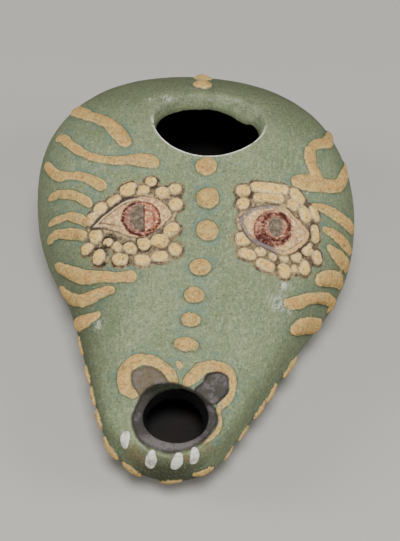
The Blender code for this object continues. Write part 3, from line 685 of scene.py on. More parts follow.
# How uneven the skin and the throats' walls are: height, size and seed of each wave
SKIN_WAVES = ((0.16, 13.0, 1), (0.07, 5.0, 2), (0.025, 1.6, 3))
WALL_WAVES = ((0.05, 2.0, 8),)
off_foot = np.clip((skin_points[:, 2] - FLAT_BELOW) / (UNEVEN_ABOVE - FLAT_BELOW), 0, 1)
lump = unevenness_of(skin_points, SKIN_WAVES)
turn = np.arctan2(skin_points[:, 1] - FILL_CENTRE[1], skin_points[:, 0] - FILL_CENTRE[0])
backward = (0.5 + 0.5 * np.sin(turn)) ** SOFTENING_POWER
fill_round = EDGE_ROUNDING + (SOFTEST_EDGE - EDGE_ROUNDING) * backward
rounding = np.zeros(len(skin_points))
for distance, reach in ((fill_distance, fill_round), (wick_distance, EDGE_ROUNDING)):
    short = np.clip(reach - np.abs(distance), 0, reach)
    rounding = np.maximum(rounding, reach - np.sqrt(reach**2 - short**2))
outside = skin_points + skin_normals * (raised + lump * off_foot - rounding)[:, None]
stations = FILL_STATIONS + SPINE_STATIONS + WICK_STATIONS + 1
rows = TOP_ROWS + FLANK_ROWS + FOOT_ROWS
outside = dict(zip((1, -1), outside.reshape(2, stations, rows, 3)))

# Throat walls from the rounded edge down to the chamber. The filling hole was cut by hand, so its lower
# lip lies nearer the edge on the left and has a burr at the right rear: its radius is given at bearings
# in degrees.
FILL_LIP = (
    (-179, 10.75), (-150, 10.4), (-110, 10.1), (-30, 10.1), (5, 9.98), (13, 10.0), (20, 9.87), (29, 9.65),
    (32, 9.26), (34, 8.61), (40, 8.29), (51, 8.25), (61, 8.67), (72, 8.94), (84, 9.37), (94, 9.7),
    (107, 9.51), (119, 9.77), (135, 10.0), (148, 10.4), (159, 10.58), (169, 10.7),
)
# Each throat: its name, first and last station, and rows
THROATS = (("fill", 0, FILL_STATIONS, 9), ("wick", stations - 1 - WICK_STATIONS, stations - 1, 7))
throat = {}
for side in (1, -1):
    for name, first, last, steps in THROATS:
        top, low = outside[side][first:last + 1, 0], inner[side][first:last + 1, 0]
        if name == "fill":
            arm = low[:, :2] - FILL_CENTRE
            turn = np.arctan2(arm[:, 1], arm[:, 0])
            bearings, radii = np.transpose(FILL_LIP)
            radius = np.interp(np.degrees(turn), bearings, radii, period=360)
            radius += 0.04 * np.sin(9 * turn + 1) + 0.02 * np.sin(23 * turn)
            low[:, :2] = FILL_CENTRE + arm * (radius / np.linalg.norm(arm, axis=1))[:, None]
        w = np.linspace(0, 1, steps + 1)[None, :, None]
        wall = top[:, None] * (1 - w) + low[:, None] * w
        bumps = unevenness_of(wall[:, 1:-1].reshape(-1, 3), WALL_WAVES)
        wall[:, 1:-1] += bumps.reshape(last + 1 - first, steps - 1, 1)
        throat[side, name] = wall
        inner[side][first:last + 1, 0] = wall[:, -1]


# The mesh of the whole lamp
# One closed skin: outside, throat walls and chamber are grids of quads whose shared edges are joined. In
# plan the frame's middle is that of the whole box, whose front end is the dab at the nozzle's tip.
MM = 0.001
TIP_DAB_RISE = 0.9
BODY_SHIFT = (NOZZLE_CENTRE + NOZZLE_RADIUS + TIP_DAB_RISE - BACK_LENGTH) / 2
points, quads, inside_flags, masks = [], [], [], []
count = 0
skin_masks = {
    "wick_distance": wick_distance, "fill_distance": fill_distance, "cream_depth": cream_depth,
    "almond_depth": almond_depth, "patch_depth": patch_depth, "bead_depth": bead_depth,
    "nostril_depth": nostril_depth, "band_depth": band_depth, "tooth_depth": tooth_depth,
    "bead_line": bead_line, "smudge": smudge, "rub": rub, "blot": blot, "facing_up": skin_normals[:, 2],
}
# Walls and chamber have masks and an eye place that lie far from every painted shape
plain_masks = np.array([WICK_REACH, FILL_REACH] + 7 * [FAR] + [0, 0, 0, 0, 1], float)
far_place = np.array([9.0, 9.0, 0.0])
outer_masks = dict(zip((1, -1), np.stack(list(skin_masks.values()), -1).reshape(2, stations, rows, -1)))
outer_places = dict(zip((1, -1), eye_place.reshape(2, stations, rows, 3)))
places, depths_in = [], []


def add_grid(grid, flip, grid_masks, grid_places, throat_share, is_inside):
    """Appends a grid of points and its quads, turned over on the left side so that faces look outwards."""
    global count
    n, m = grid.shape[:2]
    index = count + np.arange(n * m).reshape(n, m)
    ring = [index[:-1, :-1], index[1:, :-1], index[1:, 1:], index[:-1, 1:]]
    if flip:
        ring.reverse()
    made = np.stack(ring, -1).reshape(-1, 4)
    points.append(grid.reshape(-1, 3))
    quads.append(made)
    masks.append(grid_masks.reshape(-1, len(plain_masks)))
    places.append(grid_places.reshape(-1, 3))
    depths_in.append(throat_share.reshape(-1))
    inside_flags.append(np.full(len(made), is_inside))
    count += n * m


for side in (1, -1):
    grid = outside[side]
    add_grid(grid, side < 0, outer_masks[side], outer_places[side], np.zeros(grid.shape[:2]), False)
    for name in ("fill", "wick"):
        grid = throat[side, name]
        blank = np.broadcast_to(plain_masks, grid.shape[:2] + (len(plain_masks),)).copy()
        share = np.broadcast_to(np.linspace(0, 1, grid.shape[1])[None], grid.shape[:2])
        blank[..., ("wick", "fill").index(name)] = -share * WALL
        add_grid(grid, side > 0, blank, np.broadcast_to(far_place, grid.shape), share, False)
    grid = inner[side]
    blank = np.broadcast_to(plain_masks, grid.shape[:2] + (len(plain_masks),))
    add_grid(grid, side > 0, blank, np.broadcast_to(far_place, grid.shape), np.ones(grid.shape[:2]), True)
points, quads = np.concatenate(points), np.concatenate(quads)
masks, places = np.concatenate(masks), np.concatenate(places)
depths_in, inside_flags = np.concatenate(depths_in), np.concatenate(inside_flags)
_, first, joined = np.unique(np.round(points, 5), axis=0, return_index=True, return_inverse=True)
order = np.sort(first)
place_of = np.empty(len(first), int)
place_of[np.argsort(first)] = np.arange(len(first))
quads = place_of[joined.ravel()][quads]
points, masks, places, depths_in = points[order], masks[order], places[order], depths_in[order]

mesh = bpy.data.meshes.new("lamp_skin")
mesh.vertices.add(len(points))
mesh.vertices.foreach_set("co", ((points + [0, BODY_SHIFT, 0]) * MM).astype(np.float32).ravel())
mesh.loops.add(quads.size)
mesh.loops.foreach_set("vertex_index", quads.astype(np.int32).ravel())
mesh.polygons.add(len(quads))
mesh.polygons.foreach_set("loop_start", np.arange(0, quads.size, 4, dtype=np.int32))
mesh.polygons.foreach_set("material_index", inside_flags.astype(np.int32))
mesh.update(calc_edges=True)
mesh.shade_smooth()
for name, values in (*zip(skin_masks, masks.T), ("throat_share", depths_in)):
    attribute = mesh.attributes.new(name, "FLOAT", "POINT")
    attribute.data.foreach_set("value", values.astype(np.float32))
attribute = mesh.attributes.new("eye_place", "FLOAT_VECTOR", "POINT")
attribute.data.foreach_set("vector", places.astype(np.float32).ravel())
lamp = bpy.data.objects.new("painted_lamp", mesh)
bpy.context.scene.collection.objects.link(lamp)
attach(lamp, "root")
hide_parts("lamp_body")

# The paint
# Thin earth colours brushed on the fired clay, matt and a little rubbed: a mottled grey-green ground,
# then scales, eyes, cream slip, grey nostrils and white teeth, in the order they were laid on.
GREEN = (122, 131, 99)
GREEN_DEEP = (106, 117, 86)
GREEN_PALE = (142, 149, 118)
GREEN_BLUE = (95, 119, 106)
# The next two colours are painted shade laid over the green ground
GREEN_PAINTED_SHADE = (70, 76, 56)
MOUTH_SHADE_DARK = (50, 48, 38)
SPECK_PALE = (190, 190, 168)
SCALE_GROUND = (168, 144, 106)
SCALE_MAUVE = (104, 80, 74)
SCALE_YELLOW = (216, 178, 98)
SCALE_CREAM = (224, 196, 142)
OUTLINE_DARK = (48, 38, 34)
EYE_WHITE = (196, 160, 104)
EYE_PINK = (172, 130, 98)
EYE_PALE = (222, 194, 148)
IRIS_MAUVE = (128, 84, 76)
IRIS_SALMON = (174, 108, 82)
IRIS_STREAK = (214, 166, 126)
IRIS_DARK = (66, 28, 28)
PUPIL_GREY = (118, 106, 90)
PUPIL_DARK = (72, 65, 56)
LID_GREY = (106, 98, 102)
LID_DARK = (58, 50, 50)
LID_PALE = (200, 186, 160)
SLIP_CREAM = (186, 153, 90)
SLIP_PEACH = (188, 143, 83)
SLIP_PALE = (207, 181, 120)
# Painted shadow at the foot of the raised slip
SLIP_FOOT_SHADOW = (74, 70, 50)
NOSTRIL_BROWN = (98, 86, 70)
NOSTRIL_GREY = (62, 56, 56)
NOSTRIL_DARK = (42, 36, 36)
BAND_GREY = (92, 86, 86)
# Painted shadow along the top of the wick band
BAND_SIDE = (56, 50, 52)
BAND_SHADOW_OLIVE = (22, 24, 14)
TOOTH_WHITE = (216, 214, 200)
TOOTH_SHADE = (180, 172, 165)
SMUDGE_BROWN = (118, 98, 68)
WORN_CLAY = (228, 224, 208)
DUST_DARK = (58, 60, 44)
# Near black: painted shade deep in the holes
HOLE_SHADE_BLACK = (2, 2, 2)
FRAME_FILL_Y = (FILL_CENTRE[1] + BODY_SHIFT) * MM
FRAME_WICK_Y = (WICK_CENTRE[1] + BODY_SHIFT) * MM
SCREEN_CURVE = 2.2
GRAIN_DEPTH = 0.0005


def paint(colour):
    """Linear colour of a paint given in screen values: each over 255, to the power of the screen's curve."""
    return tuple((c / 255) ** SCREEN_CURVE for c in colour) + (1.0,)


def put(kind, inputs=None, **settings):
    """A node in the tree being made, with its settings, whose inputs are plain values or sockets."""
    made = tree.nodes.new(kind)
    for name, value in settings.items():
        setattr(made, name, value)
    for name, value in (inputs or {}).items():
        if isinstance(value, bpy.types.NodeSocket):
            tree.links.new(value, made.inputs[name])
        else:
            made.inputs[name].default_value = value
    return made


def calc(operation, *values, clamp=False):
    """Result of a Math node on up to three numbers or sockets."""
    inputs = dict(enumerate(values))
    return put("ShaderNodeMath", inputs, operation=operation, use_clamp=clamp).outputs[0]


def both(*shares):
    """Product of shares."""
    made = shares[0]
    for share in shares[1:]:
        made = calc("MULTIPLY", made, share)
    return made


def except_where(share):
    """One less a share."""
    return calc("SUBTRACT", 1.0, share)


def away_from(value, middle):
    """Distance of a value from a middle: their difference without its sign."""
    return calc("ABSOLUTE", calc("SUBTRACT", value, middle))


def reach_of(dx, dy):
    """Length of a step: the root of the sum of its two squares."""
    return calc("SQRT", calc("ADD", both(dx, dx), both(dy, dy)))


def vector(operation, *inputs):
    """Result of a Vector Math node on up to three vectors."""
    return put("ShaderNodeVectorMath", dict(enumerate(inputs)), operation=operation).outputs["Vector"]


def ramp(value, low, high):
    """Smooth step of a value from 0 at low to 1 at high."""
    inputs = {"Value": value, "From Min": low, "From Max": high}
    return put("ShaderNodeMapRange", inputs, interpolation_type="SMOOTHSTEP").outputs[0]


def noise(scale, detail=3.0, roughness=0.55, place=None):
    """Cloudy noise between 0 and 1 on the object's own coordinates, or on a given place."""
    at = place if place is not None else put("ShaderNodeTexCoord").outputs["Object"]
    inputs = {"Vector": at, "Scale": scale, "Detail": detail, "Roughness": roughness}
    return put("ShaderNodeTexNoise", inputs).outputs["Fac"]


def swing(value, size):
    """Noise turned into a wander of that size either way: its value less a half, times the size."""
    return both(calc("SUBTRACT", value, 0.5), size)


def over(share, under, top):
    """Colour of a paint laid over another by a share from 0 to 1."""
    under, top = (paint(c) if isinstance(c, tuple) else c for c in (under, top))
    return put("ShaderNodeMix", {0: share, 6: under, 7: top}, data_type="RGBA").outputs[2]


def coats(base, *layers):
    """Paints laid over a base in their order. Each is a colour and the shares whose product is how much of
    what lies below it covers."""
    for top, *shares in layers:
        base = over(both(*shares), base, top)
    return base


def new_group(name, inputs):
    """Node group that gives a mask: the group, its inputs' sockets, and the socket that takes the mask."""
    group = bpy.data.node_groups.new(name, "ShaderNodeTree")
    for label, default in inputs.items():
        socket = group.interface.new_socket(label, in_out="INPUT", socket_type="NodeSocketFloat")
        socket.default_value = default
    group.interface.new_socket("Mask", in_out="OUTPUT", socket_type="NodeSocketFloat")
    given = group.nodes.new("NodeGroupInput").outputs
    return group, given, group.nodes.new("NodeGroupOutput").inputs["Mask"]


def placed(group, **values):
    """Mask of a node group placed with its own values; an underscore in a name stands for a space."""
    inputs = {label.replace("_", " "): value for label, value in values.items()}
    return put("ShaderNodeGroup", inputs, node_tree=group).outputs["Mask"]


# A brushed edge: one inside a painted shape, falling to zero over its soft edge, which wanders as a
# loaded brush does and is broken by the clay's grain.
brushed, given, result = new_group("brushed_edge", {
    "Depth": 0.0, "Softness": 0.12, "Wander": 0.25, "Grain": 0.1})
tree = brushed
moved = calc("ADD", given["Depth"], swing(noise(650.0), given["Wander"]))
moved = calc("ADD", moved, swing(noise(3800.0, 2.0), given["Grain"]))
tree.links.new(ramp(moved, both(given["Softness"], -1.0), given["Softness"]), result)

# A thin painted line: one where the depth is near its middle, of an uneven width, wavering and broken
lined, given, result = new_group("painted_line", {"Depth": 0.0, "Middle": 0.0, "Width": 0.2, "Breaks": 0.5})
tree = lined
off = away_from(calc("ADD", given["Depth"], swing(noise(1100.0), 0.3)), given["Middle"])
width = both(given["Width"], calc("MULTIPLY_ADD", noise(900.0), 1.3, 0.35))
gone = both(given["Breaks"], ramp(noise(480.0, 3.0), 0.56, 0.36))
tree.links.new(both(ramp(off, width, 0.0), except_where(gone)), result)

# An arc in an iris: part of a ring round a middle, on the side that it faces, in one eye only
arced, given, result = new_group("iris_arc", {
    "Across": 0.0, "Along": 0.0, "Which": 0.0, "Eye": 0.0, "Middle Across": 0.0, "Middle Along": 0.0,
    "Radius": 0.8, "Half Width": 0.08, "Facing Across": 1.0, "Facing Along": 0.0, "Spread": 0.0})
tree = arced
dx = calc("SUBTRACT", given["Across"], given["Middle Across"])
dy = calc("SUBTRACT", given["Along"], given["Middle Along"])
reach = reach_of(dx, dy)
off = away_from(calc("ADD", reach, swing(noise(1000.0), 0.30)), given["Radius"])
solid = ramp(off, both(given["Half Width"], 1.5), both(given["Half Width"], 0.4))
facing = calc("MULTIPLY_ADD", dx, given["Facing Across"], both(dy, given["Facing Along"]))
facing = calc("SUBTRACT", calc("DIVIDE", facing, reach), given["Spread"])
mine = calc("MAXIMUM", except_where(away_from(given["Which"], given["Eye"])), 0.0)
broken = ramp(noise(2300.0, 2.0), 0.30, 0.50)
tree.links.new(both(solid, ramp(facing, -0.2, 0.15), mine, broken), result)

material = bpy.data.materials.new("painted_clay")
material.use_nodes = True
tree = material.node_tree
shader = tree.nodes["Principled BSDF"]


def mask_of(name):
    """A depth or a share kept on the lamp's points."""
    return put("ShaderNodeAttribute", attribute_name=name).outputs["Fac"]


def brush(depth, softness=0.12, wander=0.25, grain=0.1):
    """Mask of a brushed shape."""
    return placed(brushed, Depth=depth, Softness=softness, Wander=wander, Grain=grain)


def line(depth, middle, width, breaks=0.5):
    """Mask of a thin line drawn at a depth inside a shape's edge."""
    return placed(lined, Depth=depth, Middle=middle, Width=width, Breaks=breaks)


cream, patch, bead, almond = (mask_of(name + "_depth") for name in ("cream", "patch", "bead", "almond"))
nostril, tooth, band = (mask_of(name + "_depth") for name in ("nostril", "tooth", "band"))
wick, fill = mask_of("wick_distance"), mask_of("fill_distance")
bead_dark, throat_in = mask_of("bead_line"), mask_of("throat_share")
here = put("ShaderNodeTexCoord").outputs["Object"]
here_x, here_y, here_z = put("ShaderNodeSeparateXYZ", {"Vector": here}).outputs
cloud, small_cloud = noise(110.0), noise(620.0, 4.0, 0.6)
fleck, grain, speckle = noise(2600.0, 3.0, 0.7), noise(1500.0, 4.0, 0.75), noise(1500.0, 4.0, 0.7)

# The green ground: softly clouded, with brush hairs along the lamp, bluish where it meets the slip. Painted
# shade darkens it where the skin turns from facing up, towards the back, on the nozzle's left and most round
# the mouth.
hairs = noise(1900.0, 3.0, 0.6, vector("MULTIPLY", here, (1.0, 0.2, 1.0)))
wiped = noise(1300.0, 3.0, 0.6, vector("MULTIPLY", here, (0.25, 1.0, 1.0)))
near_slip = both(ramp(cream, -2.9, -1.5), ramp(noise(200.0), 0.35, 0.55))
halo = both(ramp(cream, -1.8, -0.3), ramp(noise(330.0), 0.42, 0.62))
# Places of painted shade: the nozzle's left side, and the low front round the mouth
left_nozzle_shade = both(ramp(here_x, -0.0075, -0.0165), ramp(here_y, -0.010, -0.020))
mouth_shade = both(ramp(here_y, FRAME_WICK_Y - 0.005, FRAME_WICK_Y - 0.009), ramp(here_z, 0.0155, 0.0105))
colour = coats(
    over(ramp(cloud, 0.30, 0.72), GREEN, GREEN_DEEP),
    (GREEN_PALE, ramp(grain, 0.50, 0.62), 0.60),
    (GREEN_DEEP, ramp(grain, 0.46, 0.36), 0.65),
    (GREEN_BLUE, ramp(small_cloud, 0.52, 0.68), 0.45),
    (GREEN_PALE, ramp(hairs, 0.53, 0.66), 0.7),
    (GREEN_DEEP, ramp(hairs, 0.47, 0.34), 0.8),
    (GREEN_PALE, ramp(wiped, 0.54, 0.66), near_slip, 0.6),
    (GREEN_BLUE, ramp(wiped, 0.46, 0.34), near_slip, 0.6),
    (GREEN_BLUE, halo, 0.8),
    # Painted shade: a darker green just outside the foot of the raised slip
    (GREEN_DEEP, ramp(cream, -0.7, -0.05), 0.35),
    # Painted shade: darker where the skin turns from facing up, round the mouth, towards the back and on the
    # nozzle's left
    (GREEN_PAINTED_SHADE, ramp(mask_of("facing_up"), 0.98, 0.45), 0.42),
    (MOUTH_SHADE_DARK, mouth_shade, 0.78),
    (GREEN_PAINTED_SHADE, ramp(here_y, 0.008, 0.040), 0.55),
    (GREEN_PAINTED_SHADE, left_nozzle_shade, 0.6),
    # Painted highlight: paler green, in patches, on the rounded crest round the filling hole
    (GREEN_PALE, ramp(fill, 6.0, 0.0), ramp(noise(260.0), 0.35, 0.7), 0.5),
    (SMUDGE_BROWN, mask_of("smudge"), ramp(small_cloud, 0.3, 0.6), 0.75),
    (WORN_CLAY, mask_of("rub"), ramp(hairs, 0.40, 0.62), 0.6))

# The scales round the eyes: a mottled ground, beads paler at their edges, and dark lines between them
patch_paint = brush(patch, 0.15, 0.4)
ground_cloud = calc("ADD", both(small_cloud, 0.5), both(speckle, 0.5))
ground = coats(
    over(ramp(ground_cloud, 0.48, 0.56), SCALE_GROUND, SCALE_MAUVE),
    (SCALE_CREAM, ramp(speckle, 0.42, 0.34), 0.7))
scale_colour = coats(
    over(ramp(calc("ADD", bead, swing(small_cloud, 1.4)), 0.15, 0.75), SCALE_CREAM, SCALE_YELLOW),
    (SLIP_PEACH, ramp(noise(420.0), 0.50, 0.66), 0.45),
    (SMUDGE_BROWN, ramp(speckle, 0.54, 0.62), 0.65),
    (EYE_PALE, ramp(noise(2400.0), 0.56, 0.66), 0.45))
dark_share = calc("MULTIPLY_ADD", bead_dark, 0.75, 0.32, clamp=True)
dark_spots = both(ramp(noise(800.0, 2.0), 0.56, 0.66), ramp(bead_dark, 0.7, 1.0))
colour = coats(
    colour,
    (ground, patch_paint, 0.85),
    (scale_colour, brush(bead, 0.09, 0.3, 0.25), patch_paint),
    (OUTLINE_DARK, line(bead, -0.08, 0.48, 0.55), dark_share),
    (OUTLINE_DARK, dark_spots, ramp(bead, 0.25, -0.10), patch_paint, 0.9),
    (OUTLINE_DARK, line(patch, 0.10, 0.26, 0.7), 0.6))

# The eyes: whites, irises with streaks and dark arcs, pupils
place = put("ShaderNodeAttribute", attribute_name="eye_place").outputs["Vector"]
across, along, which = put("ShaderNodeSeparateXYZ", {"Vector": place}).outputs
left_eye = except_where(which)
radius = reach_of(across, along)
rightward = ramp(across, -0.1, 0.25)
eye_paint = brush(almond, 0.10, 0.15)
pinkness = calc("MULTIPLY_ADD", both(which, ramp(across, 0.6, 1.1)), 0.5, 0.35)
pinkness = calc("MULTIPLY_ADD", left_eye, 0.45, pinkness)
white = coats(
    over(ramp(noise(1800.0), 0.42, 0.62), EYE_WHITE, EYE_PALE),
    (EYE_PINK, pinkness, ramp(noise(1300.0), 0.40, 0.60)),
    (SMUDGE_BROWN, ramp(speckle, 0.55, 0.64), 0.5))
direction = vector("NORMALIZE", vector("MULTIPLY", place, (1.0, 1.0, 0.0)))
outwards = put("ShaderNodeCombineXYZ", {"Z": both(radius, 3.0)}).outputs[0]
streak = noise(1.3, 2.0, 0.6, vector("MULTIPLY_ADD", direction, (4.0, 4.0, 4.0), outwards))
salmon_share = calc("MULTIPLY_ADD", both(left_eye, rightward), 0.8, both(which, 0.35))
pale_share = calc("MULTIPLY_ADD", both(rightward, left_eye), 0.35, 0.35)
iris = coats(
    over(salmon_share, IRIS_MAUVE, IRIS_SALMON),
    (IRIS_STREAK, ramp(streak, 0.48, 0.62), calc("MULTIPLY_ADD", rightward, 0.5, 0.35)),
    (EYE_PALE, ramp(speckle, 0.53, 0.60), pale_share),
    (IRIS_DARK, ramp(speckle, 0.43, 0.36), 0.55))
# Each arc: the eye, its middle, radius and half width in iris sizes, bearing it faces, spread, strength
for eye, x, y, ring, half_width, bearing, spread, strength in (
        (0, 0.0, 0.0, 0.95, 0.10, 190, 80, 1.0), (0, 0.0, 0.0, 0.97, 0.08, 265, 50, 1.0),
        (0, 0.22, 0.0, 0.70, 0.07, 300, 55, 1.0), (0, 0.0, 0.0, 0.94, 0.07, 5, 25, 1.0),
        (0, 0.0, 0.0, 0.93, 0.05, 75, 60, 0.8), (0, 0.2, 0.0, 0.45, 0.05, 30, 70, 0.5),
        (1, 0.12, 0.06, 0.66, 0.10, 190, 80, 1.0), (1, 0.12, 0.06, 0.60, 0.06, 20, 60, 0.6),
        (1, 0.0, 0.0, 0.84, 0.11, 0, 70, 1.0), (1, 0.0, 0.0, 0.80, 0.20, 228, 36, 1.0),
        (1, 0.0, 0.0, 0.94, 0.05, 180, 60, 0.8), (1, 0.1, 0.0, 0.62, 0.06, 275, 35, 1.0),
        (1, 0.0, 0.0, 0.90, 0.07, 265, 45, 0.7), (1, 0.0, 0.0, 0.78, 0.08, 95, 38, 1.0)):
    angle = math.radians(bearing)
    arc = placed(arced, Across=across, Along=along, Which=which, Eye=eye, Middle_Across=x, Middle_Along=y,
                 Radius=ring, Half_Width=half_width, Facing_Across=math.cos(angle),
                 Facing_Along=math.sin(angle), Spread=math.cos(math.radians(spread)))
    iris = coats(iris, (IRIS_DARK, arc, strength))
loose_radius = calc("ADD", radius, swing(noise(900.0), 0.25))
colour = coats(colour, (white, eye_paint), (iris, eye_paint, ramp(loose_radius, 1.06, 0.97)))
pupil = coats(
    over(ramp(noise(1500.0, 3.0, 0.7), 0.40, 0.62), PUPIL_GREY, PUPIL_DARK),
    (NOSTRIL_BROWN, ramp(fleck, 0.55, 0.68), 0.5))
wobble = swing(noise(900.0), 0.7)
# Each pupil: the eye's share, its middle, half width and half height, and where its right edge is cut
for strength, x, y, half_width, half_height, cut in (
        (left_eye, 0.00, 0.05, 0.60, 0.76, 0.12), (which, 0.13, 0.08, 0.38, 0.52, 9.0)):
    dx = calc("DIVIDE", calc("SUBTRACT", across, x), half_width)
    dy = calc("DIVIDE", calc("SUBTRACT", along, y), half_height)
    shape = ramp(calc("ADD", reach_of(dx, dy), wobble), 1.08, 0.92)
    cut_line = both(ramp(away_from(across, cut + 0.03), 0.06, 0.0), ramp(calc("ABSOLUTE", dy), 1.1, 0.9))
    colour = coats(
        colour,
        (pupil, shape, ramp(across, cut + 0.04, cut - 0.02), strength, 0.95),
        (IRIS_DARK, cut_line, strength, eye_paint))

# The lids: a double dark line with a pale one between at the left eye, a grey band round the right one
upper_left = both(left_eye, ramp(across, 0.1, -0.4), ramp(along, -0.55, -0.25))
lid_grey = over(ramp(across, -0.2, 0.9), LID_GREY, EYE_WHITE)
lid_band = both(which, brush(almond, 0.12, 0.3), ramp(almond, 0.80, 0.60))
colour = coats(
    colour,
    (LID_DARK, line(almond, 0.02, 0.24, 0.35), left_eye, 0.9),
    (LID_DARK, line(almond, 0.10, 0.55, 0.0), upper_left),
    (LID_PALE, line(almond, 0.52, 0.20, 0.3), upper_left, 0.9),
    (LID_DARK, line(almond, 0.92, 0.26, 0.3), upper_left, 0.9),
    (lid_grey, lid_band, ramp(speckle, 0.32, 0.44), 0.9),
    (LID_DARK, line(almond, 0.0, 0.28, 0.8), which, 0.9),
    (LID_DARK, line(almond, 0.78, 0.13, 0.8), which, 0.7))

# The cream slip: peach clouds, a paler rim and specks of the ground showing through
slip = coats(
    over(ramp(noise(420.0), 0.44, 0.62), SLIP_CREAM, SLIP_PEACH),
    (SLIP_PALE, ramp(cream, 0.55, 0.08), 0.55),
    (SLIP_PALE, ramp(grain, 0.54, 0.64), 0.6),
    (SMUDGE_BROWN, ramp(small_cloud, 0.50, 0.36), 0.4),
    (SMUDGE_BROWN, ramp(speckle, 0.46, 0.36), 0.6),
    (GREEN_PALE, ramp(noise(700.0), 0.56, 0.68), 0.35))
colour = coats(
    colour,
    (slip, brush(cream, 0.12, 0.35, 0.40)),
    (SPECK_PALE, ramp(noise(2100.0, 3.0, 0.7), 0.58, 0.70), 0.28),
    # Painted shadow: a thin dark line round the foot of the raised slip
    (SLIP_FOOT_SHADOW, line(cream, -0.10, 0.22, 0.7), 0.65))

# The nose: a brown-grey nostril on the left and a darker one on the right, the band round the wick hole,
# which is painted dark olive at its top as painted shadow, and the teeth
right_side = ramp(here_x, 0.0022, 0.0028)
nose_grey = coats(
    over(right_side, NOSTRIL_BROWN, NOSTRIL_GREY),
    (LID_GREY, ramp(small_cloud, 0.45, 0.62), 0.6))
nose_line = calc("MULTIPLY_ADD", right_side, 0.55, 0.35)
at_top = ramp(here_y, FRAME_WICK_Y + 0.0012, FRAME_WICK_Y + 0.0052)
at_bottom = ramp(here_y, FRAME_WICK_Y - 0.0040, FRAME_WICK_Y - 0.0062)
band_colour = coats(
    over(at_bottom, BAND_SIDE, BAND_GREY),
    (LID_GREY, ramp(small_cloud, 0.45, 0.62), 0.4),
    # Painted shadow: dark olive over the top of the band, at the wick hole's far edge
    (BAND_SHADOW_OLIVE, at_top))
tooth_colour = over(ramp(small_cloud, 0.42, 0.66), TOOTH_WHITE, TOOTH_SHADE)
colour = coats(
    colour,
    (nose_grey, brush(nostril, 0.15, 0.35), 0.93),
    (NOSTRIL_DARK, line(nostril, 0.12, 0.42, 0.35), nose_line),
    (band_colour, brush(band, 0.22, 0.5), 0.95),
    (NOSTRIL_DARK, line(band, 0.02, 0.55, 0.4), 0.85),
    (GREEN_PALE, line(band, -0.45, 0.22, 0.6), except_where(at_top), 0.45),
    (tooth_colour, brush(tooth, 0.10, 0.2)))

# Rubbed edges, blots of soot and fine dust, and painted shade darkening down the throats
front = ramp(here_y, FRAME_FILL_Y + 0.001, FRAME_FILL_Y - 0.003)
worn = both(ramp(fill, 0.62, 0.34), ramp(fill, -0.5, -0.2), calc("MULTIPLY_ADD", front, 0.92, 0.06))
colour = coats(
    colour,
    (WORN_CLAY, worn, ramp(small_cloud, 0.30, 0.48)),
    # Painted shade: darker down the throat walls
    (GREEN_PAINTED_SHADE, ramp(throat_in, 0.35, 0.95), 0.75),
    (OUTLINE_DARK, ramp(mask_of("blot"), 0.25, 0.8), ramp(fleck, 0.34, 0.50), 0.95),
    (DUST_DARK, ramp(fleck, 0.52, 0.64), 0.5),
    # Painted shade: near black at the foot of both throats and down the wick hole
    (HOLE_SHADE_BLACK, ramp(throat_in, 0.90, 1.0)),
    (HOLE_SHADE_BLACK, ramp(wick, 0.04, -0.10)))
tree.links.new(colour, shader.inputs["Base Color"])
tree.links.new(calc("MULTIPLY_ADD", small_cloud, 0.2, 0.68), shader.inputs["Roughness"])
grain_height = calc("ADD", both(fleck, 0.5), grain)
bump = put("ShaderNodeBump", {"Height": grain_height, "Strength": 0.9, "Distance": GRAIN_DEPTH})
tree.links.new(bump.outputs[0], shader.inputs["Normal"])
shader.inputs["Specular IOR Level"].default_value = 0.15
mesh.materials.append(material)

# The chamber, in painted shade
# Inside, the clay is bare: it was never painted or smoothed. Its near-black colour is painted shade
# for the dark hollow, on a dull, slightly rough crust.
# Near black and dark brown: painted shade for the dark hollow, not the clay's own colour
CHAMBER = (14, 10, 8)
CHAMBER_BROWN = (30, 20, 14)
CRUST_DEPTH = 0.0003
chamber_clay = bpy.data.materials.new("chamber_clay_in_shade")
chamber_clay.use_nodes = True
tree = chamber_clay.node_tree
shader = tree.nodes["Principled BSDF"]
tree.links.new(over(ramp(noise(160.0, 4.0), 0.4, 0.75), CHAMBER, CHAMBER_BROWN), shader.inputs["Base Color"])
bump = put("ShaderNodeBump", {"Height": noise(900.0, 4.0), "Strength": 0.5, "Distance": CRUST_DEPTH})
tree.links.new(bump.outputs[0], shader.inputs["Normal"])
shader.inputs["Roughness"].default_value = 0.92
mesh.materials.append(chamber_clay)

# The table, lights and camera
# A pale matt floor, a soft light high in front, a weaker one low on either side, and a long lens that
# looks down on the lamp at 44 degrees.
FLOOR_SPAN = 1.5
FLOOR_COLOUR = (0.33, 0.315, 0.29, 1)
ROOM_COLOUR = (1.0, 0.99, 0.97, 1)
ROOM_STRENGTH = 0.06
LIT_POINT = (0, 0, 0.02)
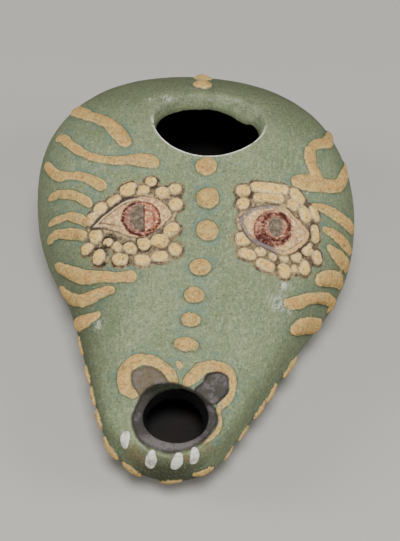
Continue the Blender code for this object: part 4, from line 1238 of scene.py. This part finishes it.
# Each light: its name, place, width and power
LIGHTS = (
    ("front_light", (0.06, -0.42, 0.84), 0.30, 13.2),
    ("right_light", (0.65, -0.10, 0.36), 0.4, 3.6),
    ("left_light", (-0.65, -0.10, 0.36), 0.4, 3.6),
)
CAMERA_AZIMUTH = math.radians(5.0)
CAMERA_ELEVATION = math.radians(44.0)
CAMERA_ROLL = math.radians(1.34)
CAMERA_AIM = (0.00267, -0.0049, 0.015)
CAMERA_DISTANCE = 0.300
LENS_MM = 100.67
SENSOR_MM = 36.0
floor_mesh = bpy.data.meshes.new("floor")
corners = [(x * FLOOR_SPAN, y * FLOOR_SPAN, 0) for x, y in ((-1, -1), (1, -1), (1, 1), (-1, 1))]
floor_mesh.from_pydata(corners, [], [(0, 1, 2, 3)])
floor = bpy.data.objects.new("floor", floor_mesh)
bpy.context.scene.collection.objects.link(floor)
floor_material = bpy.data.materials.new("pale_floor")
floor_material.use_nodes = True
floor_shader = floor_material.node_tree.nodes["Principled BSDF"]
floor_shader.inputs["Base Color"].default_value = FLOOR_COLOUR
floor_shader.inputs["Roughness"].default_value = 0.9
floor_mesh.materials.append(floor_material)
floor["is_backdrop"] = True

world = bpy.data.worlds.new("soft_room")
world.use_nodes = True
world.node_tree.nodes["Background"].inputs["Color"].default_value = ROOM_COLOUR
world.node_tree.nodes["Background"].inputs["Strength"].default_value = ROOM_STRENGTH
bpy.context.scene.world = world
for name, place, size, power in LIGHTS:
    light = bpy.data.lights.new(name, "AREA")
    light.size = size
    light.energy = power
    holder = bpy.data.objects.new(name, light)
    holder.location = place
    holder.rotation_mode = "QUATERNION"
    holder.rotation_quaternion = (Vector(place) - Vector(LIT_POINT)).to_track_quat("Z", "Y")
    bpy.context.scene.collection.objects.link(holder)

across_x, across_y = math.cos(CAMERA_AZIMUTH), math.sin(CAMERA_AZIMUTH)
level = math.cos(CAMERA_ELEVATION)
back = Vector((across_y * level, -across_x * level, math.sin(CAMERA_ELEVATION)))
right = Vector((across_x, across_y, 0.0))
up = back.cross(right)
leaned_right = right * math.cos(CAMERA_ROLL) + up * math.sin(CAMERA_ROLL)
leaned_up = up * math.cos(CAMERA_ROLL) - right * math.sin(CAMERA_ROLL)
lens = bpy.data.cameras.new("camera")
lens.lens = LENS_MM
lens.sensor_width = SENSOR_MM
lens.clip_start, lens.clip_end = 0.01, 10.0
camera = bpy.data.objects.new("camera", lens)
camera.matrix_world = Matrix((leaned_right, leaned_up, back)).transposed().to_4x4()
camera.location = Vector(CAMERA_AIM) + back * CAMERA_DISTANCE
bpy.context.scene.collection.objects.link(camera)
bpy.context.scene.camera = camera

low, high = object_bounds()
